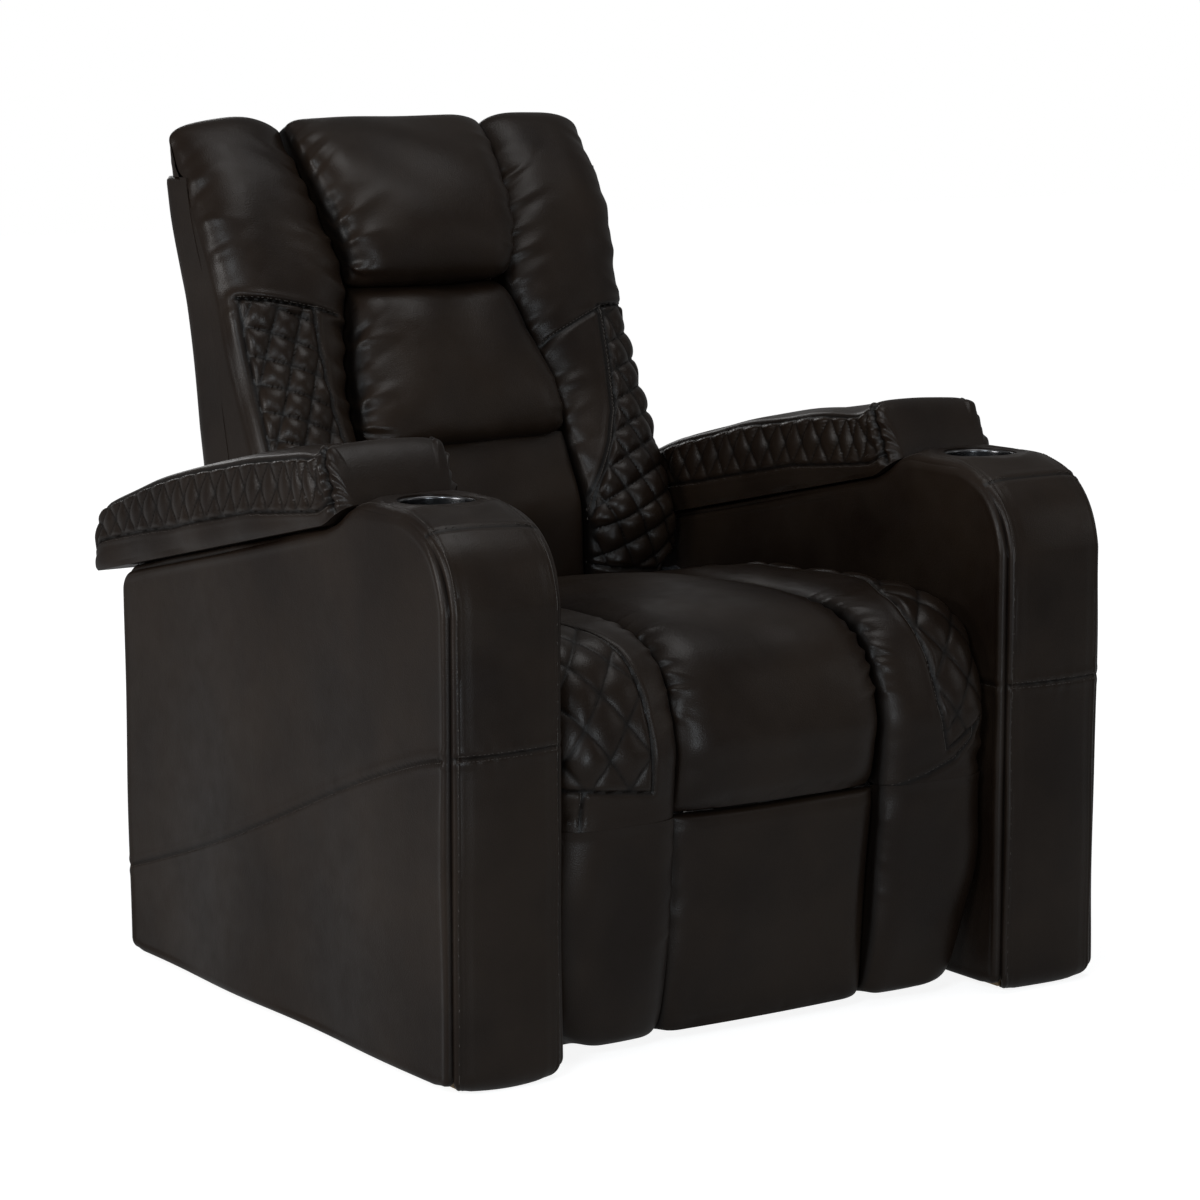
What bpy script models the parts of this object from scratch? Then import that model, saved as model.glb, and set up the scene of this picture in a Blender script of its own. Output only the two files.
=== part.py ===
"""Wall hugger recliner: two slab arms on a base frame, a seat carriage that
slides forward between them as its back reclines, and a lazy-tong footrest.

Metres, +Z up. The sitter faces -Y; left and right are the sitter's. Inside
this file a place is given in chair coordinates: x from the centre line, y from
the arms' front face towards the rear, z from the floor. One empty shifts the
whole chair so that the origin is under the middle of its overall depth.
"""
import math

import bmesh
import bpy
from mathutils import Vector

# Overall sizes
SEAT_SPACE_WIDTH = 0.627
ARM_WIDTH = 0.154
ARM_HEIGHT = 0.640
ARM_DEPTH = 0.775
BACK_TOP_HEIGHT = 1.042

# Clearances
TOUCH_GAP = 0.0003
RUNNING_GAP = 0.0005
PIN_CLEARANCE = 0.0003
CUT_OVERRUN = 0.004

# Arms
GLIDE_HEIGHT = 0.006
GLIDE_RADIUS = 0.020
GLIDE_INSET = 0.070
ARM_CORNER_RADIUS = 0.100
BAND_THICKNESS = 0.020
OUTER_PANEL_THICKNESS = 0.020
INNER_PANEL_THICKNESS = 0.014
PANEL_EDGE_DEPTH = 0.004
PANEL_EDGE_WIDTH = 0.014
PAD_SEAT_START = 0.205
PAD_SEAT_RAMP = 0.045
PAD_SEAT_DROP = 0.031
ARM_REAR_DROP = 0.145

# Arm pads
PAD_OUTER_OVERHANG = 0.008
PAD_INNER_OVERHANG = 0.004
PAD_HEIGHT = 0.090
PAD_LENGTH = 0.627
PAD_EDGE_ROUNDING = 0.020
PAD_SEAM_DEPTH = 0.004
PAD_NOSE_SHARE = 0.095
PAD_STATIONS = 30

# Cup holders
CUP_CENTRE_DEPTH = 0.145
CUP_FLANGE_RADIUS = 0.054
CUP_FLANGE_THICKNESS = 0.0020
CUP_OUTER_RADIUS = 0.044
CUP_WALL = 0.0015
CUP_DEPTH = 0.070
CUP_FLOOR_ROUNDING = 0.008

# Base frame
RAIL_HEIGHT = 0.050
RAIL_DEPTH = 0.040
RAIL_BOTTOM = 0.050
FRONT_RAIL_PLACE = 0.250
REAR_RAIL_PLACE = 0.660
SLIDE_RAIL_WIDTH = 0.040
SLIDE_RAIL_HEIGHT = 0.028
SLIDE_RAIL_WALL = 0.003
SLIDE_RAIL_FRONT = 0.118
SLIDE_RAIL_REAR = 0.752
SLIDE_RAIL_SIDE_GAP = 0.0115

# Carriage
RUNNER_FRONT = 0.325
RUNNER_REAR = 0.700
RUNNER_HEIGHT = 0.0145
SIDE_PLATE_THICKNESS = 0.004
SIDE_PLATE_FOOT = 0.060
SIDE_PLATE_STRAP = 0.045
SEAT_BASE_HEIGHT = 0.350
FRONT_BEAM_DEPTH = 0.030
FRONT_BEAM_HEIGHT = 0.062
REAR_BEAM_DEPTH = 0.030
REAR_BEAM_HEIGHT = 0.060
REAR_BEAM_PLACE = 0.572
SPRING_WIRE_RADIUS = 0.0020
SPRING_AMPLITUDE = 0.022
SPRING_WAVES = 9
SPRING_STEPS_PER_WAVE = 6
SPRING_SPACING = 0.150
SPRING_LAND = 0.012
DRIVE_BAR_RADIUS = 0.010
DRIVE_BAR_PLACE = 0.285
DRIVE_HEIGHT = 0.195

# Seat
SEAT_CLEARANCE = 0.0065
SEAT_FRONT = 0.011
SEAT_REAR = 0.618
SEAT_TOP_HEIGHT = 0.492
FOLD_HEIGHT = 0.278
FOLD_DEPTH = 0.010
SEAT_ROLL_BACK = 0.100
CHANNEL_HALF_WIDTH = 0.147
CHANNEL_GAP = 0.0010
CUSHION_EDGE_DROP = 0.016
BOLSTER_EDGE_DROP = 0.034
QUILT_DEPTH = 0.0070
REAR_CROWN_ROOM = 0.0025

# Back
BACK_HALF_WIDTH = 0.3035
BACK_RAKE_DEG = 11.0
BACK_REAR_AT_FOOT = 0.840
BACK_FOOT_HEIGHT = 0.400
BACK_CAP_HEIGHT = 0.074
SHELL_WALL = 0.016
SHELL_SIDE_WALL = 0.012
SHELL_CORNER_RADIUS = 0.022
FRAME_DEPTH_LOW = 0.100
FRAME_DEPTH_HIGH = 0.072
BACK_CUSHION_FOOT = 0.455
BACK_HINGE_PLACE = 0.640
BACK_HINGE_HEIGHT = 0.430
BACK_BRACKET_THICKNESS = 0.004
BACK_BRACKET_WIDTH = 0.032
BACK_BRACKET_TOP = 0.500
HINGE_PIN_RADIUS = 0.006
CREASE_GAP = 0.0040

# Footrest
FOOT_FLOOR_GAP = 0.012
FOOT_TOP_HEIGHT = 0.271
FOOT_FRONT = 0.045
FOOT_PAD_BACK = 0.085
FOOT_BOARD_THICKNESS = 0.018
FOOT_BOARD_TOP = 0.238
FOOT_BOARD_HALF_WIDTH = 0.262
OTTOMAN_PIVOT_PLACE = 0.150
OTTOMAN_PIVOT_HEIGHT = 0.244
OTTOMAN_OPEN_PLACE = -0.150
OTTOMAN_OPEN_HEIGHT = 0.272
LINK_FOLDED_DEG = 78.0
LINK_OPEN_DEG = 18.0
LINK_WIDTH = 0.024
LINK_THICKNESS = 0.005
LINK_PIN_RADIUS = 0.006
LINK_INNER_PLANE = 0.240
TORQUE_TUBE_RADIUS = 0.0125
CRANK_LENGTH = 0.045
BRACKET_FLANGE = 0.020
BRACKET_FLANGE_THICKNESS = 0.003
BRACKET_FOOT = 0.150

# Actuator
ACTUATOR_TUBE_RADIUS = 0.016
ACTUATOR_TUBE_FRONT = 0.340
ACTUATOR_TUBE_REAR = 0.600
ACTUATOR_BORE_RADIUS = 0.0075
ACTUATOR_BORE_END = 0.562
ACTUATOR_ROD_RADIUS = 0.0065
ACTUATOR_ROD_REAR = 0.555
ROD_EYE_SIZE = 0.028
GEARBOX_LENGTH = 0.060
GEARBOX_WIDTH = 0.090
GEARBOX_HEIGHT = 0.052
MOTOR_RADIUS = 0.022
MOTOR_LENGTH = 0.095
MOTOR_OFFSET = 0.044
LUG_THICKNESS = 0.020
LUG_RADIUS = 0.013
LUG_PIN_RADIUS = 0.005
LUG_PIN_PLACE = 0.680
MOUNT_EAR_THICKNESS = 0.004
INLET_WIDTH = 0.030
INLET_HEIGHT = 0.026
INLET_DEPTH = 0.022
INLET_PLACE = 0.120
INLET_SOCKET = 0.011
INLET_SOCKET_DEPTH = 0.014

# Switch
SWITCH_PLACE = 0.300
SWITCH_BELOW_TOP = 0.100
SWITCH_LENGTH = 0.060
SWITCH_WIDTH = 0.030
SWITCH_THICKNESS = 0.003
SWITCH_POCKET_MARGIN = 0.006
SWITCH_POCKET_DEPTH = 0.005
BUTTON_RADIUS = 0.0070
BUTTON_SPACING = 0.024
BUTTON_PROUD = 0.0025
BUTTON_LENGTH = 0.0070

# Facets
PIN_SIDES = 12
CUP_SIDES = 24
TUBE_SIDES = 14
SHARP_ANGLE_DEG = 38.0

# Places worked out from the sizes
ARM_INNER_X = SEAT_SPACE_WIDTH / 2
ARM_OUTER_X = ARM_INNER_X + ARM_WIDTH
SEAT_HALF_WIDTH = ARM_INNER_X - SEAT_CLEARANCE
RAIL_TOP = RAIL_BOTTOM + RAIL_HEIGHT
SLIDE_RAIL_OUTER_X = ARM_INNER_X - SLIDE_RAIL_SIDE_GAP
SLIDE_RAIL_INNER_X = SLIDE_RAIL_OUTER_X - SLIDE_RAIL_WIDTH
RUNNER_BOTTOM = RAIL_TOP + SLIDE_RAIL_WALL + 2 * TOUCH_GAP
PLATE_BOTTOM = RUNNER_BOTTOM + RUNNER_HEIGHT + TOUCH_GAP
PLATE_MIDDLE_X = (SLIDE_RAIL_OUTER_X + SLIDE_RAIL_INNER_X) / 2
PLATE_INNER_X = PLATE_MIDDLE_X - SIDE_PLATE_THICKNESS / 2
PLATE_OUTER_X = PLATE_MIDDLE_X + SIDE_PLATE_THICKNESS / 2
SWITCH_HEIGHT = ARM_HEIGHT - SWITCH_BELOW_TOP
BACK_SLOPE = math.tan(math.radians(BACK_RAKE_DEG))
SHELL_TOP_HEIGHT = BACK_TOP_HEIGHT - BACK_CAP_HEIGHT
BACK_REAR_MOST = BACK_REAR_AT_FOOT + BACK_SLOPE * (SHELL_TOP_HEIGHT - BACK_FOOT_HEIGHT)
OVERALL_DEPTH = BACK_REAR_MOST
BACK_BRACKET_OUTER_X = PLATE_INNER_X - RUNNING_GAP
BACK_BRACKET_INNER_X = BACK_BRACKET_OUTER_X - BACK_BRACKET_THICKNESS


def line_direction(y0, z0, y1, z1):
    """Unit direction from one (y, z) point to another, and their distance."""
    length = math.hypot(y1 - y0, z1 - z0)
    return (y1 - y0) / length, (z1 - z0) / length, length


def footrest_pivots():
    """Main pivot and elbow (y, z), and the length of both links.

    Two equal links carry the ottoman pivot along the straight line from its
    folded to its open place, each link at the same angle to that line.
    """
    e_y, e_z, travel = line_direction(
        OTTOMAN_PIVOT_PLACE, OTTOMAN_PIVOT_HEIGHT, OTTOMAN_OPEN_PLACE, OTTOMAN_OPEN_HEIGHT
    )
    folded = math.radians(LINK_FOLDED_DEG)
    opened = math.radians(LINK_OPEN_DEG)
    link = travel / (2 * (math.cos(opened) - math.cos(folded)))
    along = link * math.cos(folded)
    down = link * math.sin(folded)
    main = (OTTOMAN_PIVOT_PLACE - 2 * along * e_y, OTTOMAN_PIVOT_HEIGHT - 2 * along * e_z)
    elbow = (main[0] + along * e_y - down * e_z, main[1] + along * e_z + down * e_y)
    return main, elbow, link


MAIN_PIVOT, ELBOW_PIVOT, LINK_LENGTH = footrest_pivots()
OTTOMAN_PIVOT = (OTTOMAN_PIVOT_PLACE, OTTOMAN_PIVOT_HEIGHT)
BACK_HINGE = (BACK_HINGE_PLACE, BACK_HINGE_HEIGHT)


def clear_scene():
    """Remove what an opened file may hold."""
    for item in list(bpy.data.objects):
        bpy.data.objects.remove(item, do_unlink=True)


def make_material(name, colour, roughness, metallic):
    """A Principled material of one colour."""
    material = bpy.data.materials.new(name)
    material.use_nodes = True
    shader = material.node_tree.nodes["Principled BSDF"]
    shader.inputs["Base Color"].default_value = (*colour, 1.0)
    shader.inputs["Roughness"].default_value = roughness
    shader.inputs["Metallic"].default_value = metallic
    return material


class Chair:
    """The scene's empties and materials, and how a piece joins them."""

    def __init__(self):
        self.origin = self.empty("chair_origin", None, (0, -OVERALL_DEPTH / 2, 0), (0, 0, 0))
        self.bodies = {"base": (self.origin, Vector((0, 0, 0)))}
        self.materials = {
            "leather": make_material("espresso_leather", (0.020, 0.014, 0.011), 0.38, 0.0),
            "wood": make_material("frame_wood", (0.42, 0.29, 0.16), 0.65, 0.0),
            "steel": make_material("black_steel", (0.030, 0.030, 0.032), 0.45, 0.8),
            "zinc": make_material("zinc_steel", (0.55, 0.56, 0.57), 0.35, 0.9),
            "chrome": make_material("polished_steel", (0.72, 0.72, 0.73), 0.15, 1.0),
            "plastic": make_material("black_plastic", (0.015, 0.015, 0.016), 0.45, 0.0),
            "nylon": make_material("grey_nylon", (0.22, 0.22, 0.22), 0.55, 0.0),
        }

    @staticmethod
    def empty(name, parent, place, parent_place):
        """An empty at a place in chair coordinates."""
        item = bpy.data.objects.new(name, None)
        bpy.context.scene.collection.objects.link(item)
        item.parent = parent
        item.location = Vector(place) - Vector(parent_place)
        return item

    def add_body(self, name, parent, place):
        """A moving body, whose empty stands on its joint."""
        parent_empty, parent_place = self.bodies[parent]
        item = self.empty(name + "_pivot", parent_empty, place, parent_place)
        self.bodies[name] = (item, Vector(place))

    def add_mesh(self, name, bm, body, material, smooth=True):
        """Make a piece from a bmesh in chair coordinates, carried by a body."""
        body_empty, body_place = self.bodies[body]
        bmesh.ops.translate(bm, verts=bm.verts, vec=-body_place)
        bmesh.ops.recalc_face_normals(bm, faces=bm.faces)
        mesh = bpy.data.meshes.new(name)
        bm.to_mesh(mesh)
        bm.free()
        if smooth:
            mesh.shade_smooth()
            mesh.set_sharp_from_angle(angle=math.radians(SHARP_ANGLE_DEG))
        item = bpy.data.objects.new(name, mesh)
        bpy.context.scene.collection.objects.link(item)
        mesh.materials.append(self.materials[material])
        item.parent = body_empty
        return item


def cut(item, cutter, operation="DIFFERENCE"):
    """Cut an object with another one, which becomes a guide."""
    cutter.hide_render = True
    cutter.display_type = "WIRE"
    step = item.modifiers.new(operation.lower() + "_" + cutter.name, "BOOLEAN")
    step.operation = operation
    step.solver = "EXACT"
    step.object = cutter


def add_loops(bm, loops):
    """Skin closed loops of equal length into a solid with flat end caps."""
    rings = [[bm.verts.new(point) for point in loop] for loop in loops]
    count = len(rings[0])
    for first, second in zip(rings, rings[1:]):
        for k in range(count):
            n = (k + 1) % count
            bm.faces.new((first[k], first[n], second[n], second[k]))
    bm.faces.new(rings[0])
    bm.faces.new(list(reversed(rings[-1])))


def prism_x(outline, x0, x1):
    """A (y, z) outline extruded along x."""
    bm = bmesh.new()
    add_loops(bm, [[(x, y, z) for y, z in outline] for x in (x0, x1)])
    return bm


def block(x0, x1, y0, y1, z0, z1):
    """A rectangular block between its corners."""
    return prism_x([(y0, z0), (y1, z0), (y1, z1), (y0, z1)], x0, x1)


def circle(radius, sides, first=0.0):
    """Points of a circle round zero, starting at an angle."""
    step = math.tau / sides
    return [
        (radius * math.cos(first + step * k), radius * math.sin(first + step * k))
        for k in range(sides)
    ]


def rod_x(centre, radius, x0, x1, sides=PIN_SIDES):
    """A round bar along x through a (y, z) centre."""
    outline = [(centre[0] + a, centre[1] + b) for a, b in circle(radius, sides)]
    return prism_x(outline, x0, x1)


def rod_y(x, z, radius, y0, y1, sides=PIN_SIDES):
    """A round bar along y."""
    bm = bmesh.new()
    outline = circle(radius, sides)
    add_loops(bm, [[(x + a, y, z + b) for a, b in outline] for y in (y0, y1)])
    return bm


def hole_radius(shaft_radius, sides=PIN_SIDES):
    """Radius of a faceted hole whose flats clear a turning shaft."""
    return (shaft_radius + PIN_CLEARANCE) / math.cos(math.pi / sides)


def turned(centre, profile, sides):
    """A profile of (radius, z) points turned round a vertical axis.

    The first and last points lie on the axis, so the ends close in a point.
    """
    bm = bmesh.new()
    cx, cy = centre
    foot = bm.verts.new((cx, cy, profile[0][1]))
    head = bm.verts.new((cx, cy, profile[-1][1]))
    rings = []
    for radius, z in profile[1:-1]:
        rings.append([bm.verts.new((cx + a, cy + b, z)) for a, b in circle(radius, sides)])
    for first, second in zip(rings, rings[1:]):
        for k in range(sides):
            n = (k + 1) % sides
            bm.faces.new((first[k], first[n], second[n], second[k]))
    for k in range(sides):
        n = (k + 1) % sides
        bm.faces.new((foot, rings[0][n], rings[0][k]))
        bm.faces.new((head, rings[-1][k], rings[-1][n]))
    return bm


def offset_path(points, distance):
    """An open path moved to its left by a distance, with mitred corners."""
    moved = []
    for k, point in enumerate(points):
        before = points[max(k - 1, 0)]
        after = points[min(k + 1, len(points) - 1)]
        normals = []
        for first, second in ((before, point), (point, after)):
            dy = second[0] - first[0]
            dz = second[1] - first[1]
            length = math.hypot(dy, dz)
            if length > 0:
                normals.append((-dz / length, dy / length))
        ny = sum(n[0] for n in normals)
        nz = sum(n[1] for n in normals)
        scale = len(normals) / (ny * ny + nz * nz)
        moved.append((point[0] + distance * ny * scale, point[1] + distance * nz * scale))
    return moved


def smooth_path(points, count):
    """A smooth curve through the points, read at even steps of its length."""
    dense = []
    steps = 12
    for k in range(len(points) - 1):
        p0 = points[max(k - 1, 0)]
        p1 = points[k]
        p2 = points[k + 1]
        p3 = points[min(k + 2, len(points) - 1)]
        for s in range(steps):
            t = s / steps
            dense.append(tuple(
                0.5 * (2 * b + (c - a) * t + (2 * a - 5 * b + 4 * c - d) * t * t
                       + (3 * b - a - 3 * c + d) * t * t * t)
                for a, b, c, d in zip(p0, p1, p2, p3)
            ))
    dense.append(tuple(points[-1]))
    return even_path(dense, count)


def even_path(points, count):
    """A polyline read at even steps of its length."""
    lengths = [0.0]
    for first, second in zip(points, points[1:]):
        lengths.append(lengths[-1] + math.dist(first, second))
    result = []
    k = 0
    for i in range(count):
        target = lengths[-1] * i / (count - 1)
        while k < len(points) - 2 and lengths[k + 1] < target:
            k += 1
        span = lengths[k + 1] - lengths[k]
        t = (target - lengths[k]) / span if span > 0 else 0.0
        result.append(tuple(a + (b - a) * t for a, b in zip(points[k], points[k + 1])))
    return result


def read_shares(table, value):
    """Straight-line reading of a table of (share, result) rows."""
    if value <= table[0][0]:
        return table[0][1]
    for (a, fa), (b, fb) in zip(table, table[1:]):
        if value <= b:
            return fa + (fb - fa) * (value - a) / (b - a)
    return table[-1][1]


# Arms

def arm_outline():
    """The arm's side profile as a path: up the front, over the top, down the rear."""
    radius = ARM_CORNER_RADIUS
    top = ARM_HEIGHT
    foot = GLIDE_HEIGHT
    steps = 5
    path = [(0.0, foot)]
    for k in range(steps + 1):
        angle = math.radians(90 * k / steps)
        path.append((radius - radius * math.cos(angle), top - radius + radius * math.sin(angle)))
    path.append((PAD_SEAT_START, top))
    path.append((PAD_SEAT_START + PAD_SEAT_RAMP, top - PAD_SEAT_DROP))
    path.append((ARM_DEPTH, top - ARM_REAR_DROP))
    path.append((ARM_DEPTH, foot))
    return path


def arm_top_height(y):
    """Height of the arm's top face at a depth, also past its rear."""
    table = [(p[0], p[1]) for p in arm_outline()[-4:-1]]
    if y > ARM_DEPTH:
        (y0, z0), (y1, z1) = table[-2:]
        return z1 + (z1 - z0) / (y1 - y0) * (y - y1)
    return read_shares(table, y)


def inner_outline(distance):
    """The arm outline moved inwards, with its feet kept on the same level."""
    moved = offset_path(arm_outline(), -distance)
    moved[0] = (moved[0][0], GLIDE_HEIGHT)
    moved[-1] = (moved[-1][0], GLIDE_HEIGHT)
    return moved


def side_points(points, x, side):
    """Place (y, z) points at a distance from the centre line, on one side."""
    return [(side * x, y, z) for y, z in points]


def add_arm(chair, side, word):
    """One arm: wooden core, padded side panels and boxing band, pad and cup holder."""
    outer = ARM_OUTER_X
    inner = ARM_INNER_X
    edge_outer = PANEL_EDGE_DEPTH * OUTER_PANEL_THICKNESS / BAND_THICKNESS
    edge_inner = PANEL_EDGE_DEPTH * INNER_PANEL_THICKNESS / BAND_THICKNESS
    face = arm_outline()
    edge = inner_outline(PANEL_EDGE_DEPTH)
    deep = inner_outline(BAND_THICKNESS)

    bm = bmesh.new()
    ring_points = [
        (deep, outer - OUTER_PANEL_THICKNESS - RUNNING_GAP),
        (edge, outer - edge_outer - RUNNING_GAP),
        (face, outer - PANEL_EDGE_WIDTH),
        (face, inner + PANEL_EDGE_WIDTH),
        (edge, inner + edge_inner + RUNNING_GAP),
        (deep, inner + INNER_PANEL_THICKNESS + RUNNING_GAP),
    ]
    loops = []
    for k in range(len(face)):
        loops.append([(side * x, points[k][0], points[k][1]) for points, x in ring_points])
    add_loops(bm, loops)
    band = chair.add_mesh(word + "_arm_band", bm, "base", "leather")

    for panel, x_face, thickness, edge_depth, way in (
        ("outer", outer, OUTER_PANEL_THICKNESS, edge_outer, -1),
        ("inner", inner, INNER_PANEL_THICKNESS, edge_inner, 1),
    ):
        bm = bmesh.new()
        puffed = inner_outline(PANEL_EDGE_WIDTH)
        add_loops(bm, [
            side_points(deep, x_face + way * thickness, side),
            side_points(edge, x_face + way * edge_depth, side),
            side_points(puffed, x_face, side),
        ])
        item = chair.add_mesh(word + "_arm_" + panel + "_panel", bm, "base", "leather")
        if panel == "inner" and side < 0:
            inner_panel = item

    x0 = inner + INNER_PANEL_THICKNESS + TOUCH_GAP
    x1 = outer - OUTER_PANEL_THICKNESS - TOUCH_GAP
    core = prism_x(inner_outline(BAND_THICKNESS + TOUCH_GAP), side * x0, side * x1)
    core = chair.add_mesh(word + "_arm_frame", core, "base", "wood", smooth=False)

    centre = (side * (inner + outer) / 2, CUP_CENTRE_DEPTH)
    cup_floor = ARM_HEIGHT - CUP_DEPTH
    bore = turned(
        centre,
        [(0.0, cup_floor - TOUCH_GAP),
         (CUP_OUTER_RADIUS + TOUCH_GAP, cup_floor - TOUCH_GAP),
         (CUP_OUTER_RADIUS + TOUCH_GAP, ARM_HEIGHT + CUT_OVERRUN),
         (0.0, ARM_HEIGHT + CUT_OVERRUN)],
        CUP_SIDES,
    )
    bore = chair.add_mesh(word + "_cup_bore_cutter", bore, "base", "plastic")
    cut(band, bore)
    cut(core, bore)
    add_cup_holder(chair, word, centre, cup_floor)
    add_arm_pad(chair, side, word)

    for place, y in (("front", GLIDE_INSET), ("rear", ARM_DEPTH - GLIDE_INSET)):
        glide = turned(
            (centre[0], y),
            [(0.0, 0.0), (GLIDE_RADIUS, 0.0), (GLIDE_RADIUS, GLIDE_HEIGHT - TOUCH_GAP),
             (0.0, GLIDE_HEIGHT - TOUCH_GAP)],
            PIN_SIDES,
        )
        chair.add_mesh(word + "_" + place + "_glide", glide, "base", "plastic")
    if side < 0:
        add_switch(chair, inner_panel)


def add_cup_holder(chair, word, centre, floor):
    """A pressed steel cup with a flat flange on the arm's top."""
    rounding = CUP_FLOOR_ROUNDING
    outer = CUP_OUTER_RADIUS
    bore = outer - CUP_WALL
    flange_bottom = ARM_HEIGHT + TOUCH_GAP
    flange_top = flange_bottom + CUP_FLANGE_THICKNESS
    profile = [
        (0.0, floor),
        (outer - rounding, floor),
        (outer, floor + rounding),
        (outer, flange_bottom),
        (CUP_FLANGE_RADIUS, flange_bottom),
        (CUP_FLANGE_RADIUS, flange_bottom + CUP_FLANGE_THICKNESS / 2),
        (CUP_FLANGE_RADIUS - CUP_FLANGE_THICKNESS / 2, flange_top),
        (bore + CUP_WALL, flange_top),
        (bore, flange_top - CUP_WALL),
        (bore, floor + rounding + CUP_WALL),
        (bore - rounding, floor + CUP_WALL),
        (0.0, floor + CUP_WALL),
    ]
    chair.add_mesh(word + "_cup_holder", turned(centre, profile, CUP_SIDES), "base", "chrome")


# Cross section of an arm pad from its outer foot round to its inner foot:
# share of the width, share of the height, and whether it lies in a quilted strip.
PAD_SECTION_SHARES = [
    (0.000, 0.00, 0), (-0.010, 0.18, 0), (0.000, 0.36, -1), (0.000, 0.52, 1), (0.000, 0.70, 1),
    (0.012, 0.86, -1), (0.075, 0.97, 0), (0.250, 1.02, 0), (0.500, 1.04, 0), (0.750, 1.02, 0),
    (0.925, 0.97, 0), (0.988, 0.86, -1), (1.000, 0.70, 1), (1.000, 0.52, 1), (1.000, 0.36, -1),
    (1.010, 0.18, 0), (1.000, 0.00, 0),
]
# How much of the edge rounding narrows the first sections of the nose.
PAD_NOSE_SQUEEZE_SHARES = [1.0, 0.4]
# Height of the pad along its length, as shares of length and of full height.
PAD_HEIGHT_SHARES = [
    (0.0, 0.18), (0.012, 0.36), (0.035, 0.56), (0.070, 0.80), (0.160, 1.0), (0.60, 1.06),
    (0.76, 1.02), (0.90, 0.88), (0.97, 0.72), (1.0, 0.42),
]


def add_arm_pad(chair, side, word):
    """A padded arm rest with a bullnose front and tufted side strips.

    Each vertical section keeps the same points, so the strips' stitch lines
    run along the pad; tufts rise and sink by turns like a chessboard.
    """
    width = ARM_WIDTH + PAD_OUTER_OVERHANG + PAD_INNER_OVERHANG
    outer_x = ARM_OUTER_X + PAD_OUTER_OVERHANG
    nose = PAD_NOSE_SHARE
    shares = [0.0, nose / 6, nose / 2]
    quilted = PAD_STATIONS - len(shares)
    shares += [nose + (1 - nose) * k / (quilted - 1) for k in range(quilted)]
    loops = []
    for i, share in enumerate(shares):
        y = PAD_SEAT_START + TOUCH_GAP + PAD_LENGTH * share
        foot = arm_top_height(y) + TOUCH_GAP
        height = PAD_HEIGHT * read_shares(PAD_HEIGHT_SHARES, share)
        drawn_in = PAD_NOSE_SQUEEZE_SHARES[i] if i < len(PAD_NOSE_SQUEEZE_SHARES) else 0
        squeeze = 1 - PAD_EDGE_ROUNDING / width * drawn_in
        loop = []
        for j, (across, up, strip) in enumerate(PAD_SECTION_SHARES):
            across = 0.5 + (across - 0.5) * squeeze
            out = 0.0
            if strip < 0:
                out = -PAD_SEAM_DEPTH
            elif strip > 0 and i >= 3:
                out = PAD_SEAM_DEPTH / 2 if (i + j) % 2 else -PAD_SEAM_DEPTH / 2
            out *= -1 if across > 0.5 else 1
            x = outer_x - width * across + out
            loop.append((side * x, y, foot + height * up))
        loops.append(loop)
    bm = bmesh.new()
    add_loops(bm, loops)
    chair.add_mesh(word + "_arm_pad", bm, "base", "leather")


def add_switch(chair, panel):
    """Switch plate and two push buttons let into the right arm's inner face."""
    face = -ARM_INNER_X
    half = SWITCH_LENGTH / 2
    rise = SWITCH_WIDTH / 2
    margin = SWITCH_POCKET_MARGIN
    pocket = chair.add_mesh(
        "switch_pocket_cutter",
        block(face - SWITCH_POCKET_DEPTH, face + CUT_OVERRUN,
              SWITCH_PLACE - half + margin, SWITCH_PLACE + half - margin,
              SWITCH_HEIGHT - rise + margin, SWITCH_HEIGHT + rise - margin),
        "base", "plastic",
    )
    cut(panel, pocket)
    plate = chair.add_mesh(
        "switch_plate",
        block(face + TOUCH_GAP, face + TOUCH_GAP + SWITCH_THICKNESS,
              SWITCH_PLACE - half, SWITCH_PLACE + half, SWITCH_HEIGHT - rise, SWITCH_HEIGHT + rise),
        "base", "plastic", smooth=False,
    )
    front = face + TOUCH_GAP + SWITCH_THICKNESS + BUTTON_PROUD
    for name, way in (("recline_button", 1), ("upright_button", -1)):
        centre = (SWITCH_PLACE + way * BUTTON_SPACING / 2, SWITCH_HEIGHT)
        hole = rod_x(centre, BUTTON_RADIUS + RUNNING_GAP, face - CUT_OVERRUN, front + CUT_OVERRUN)
        cut(plate, chair.add_mesh(name + "_hole_cutter", hole, "base", "plastic"))
        chair.add_body(name, "base", (front, *centre))
        button = rod_x(centre, BUTTON_RADIUS, front - BUTTON_LENGTH, front)
        chair.add_mesh(name, button, name, "plastic")


# Base frame and actuator

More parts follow.
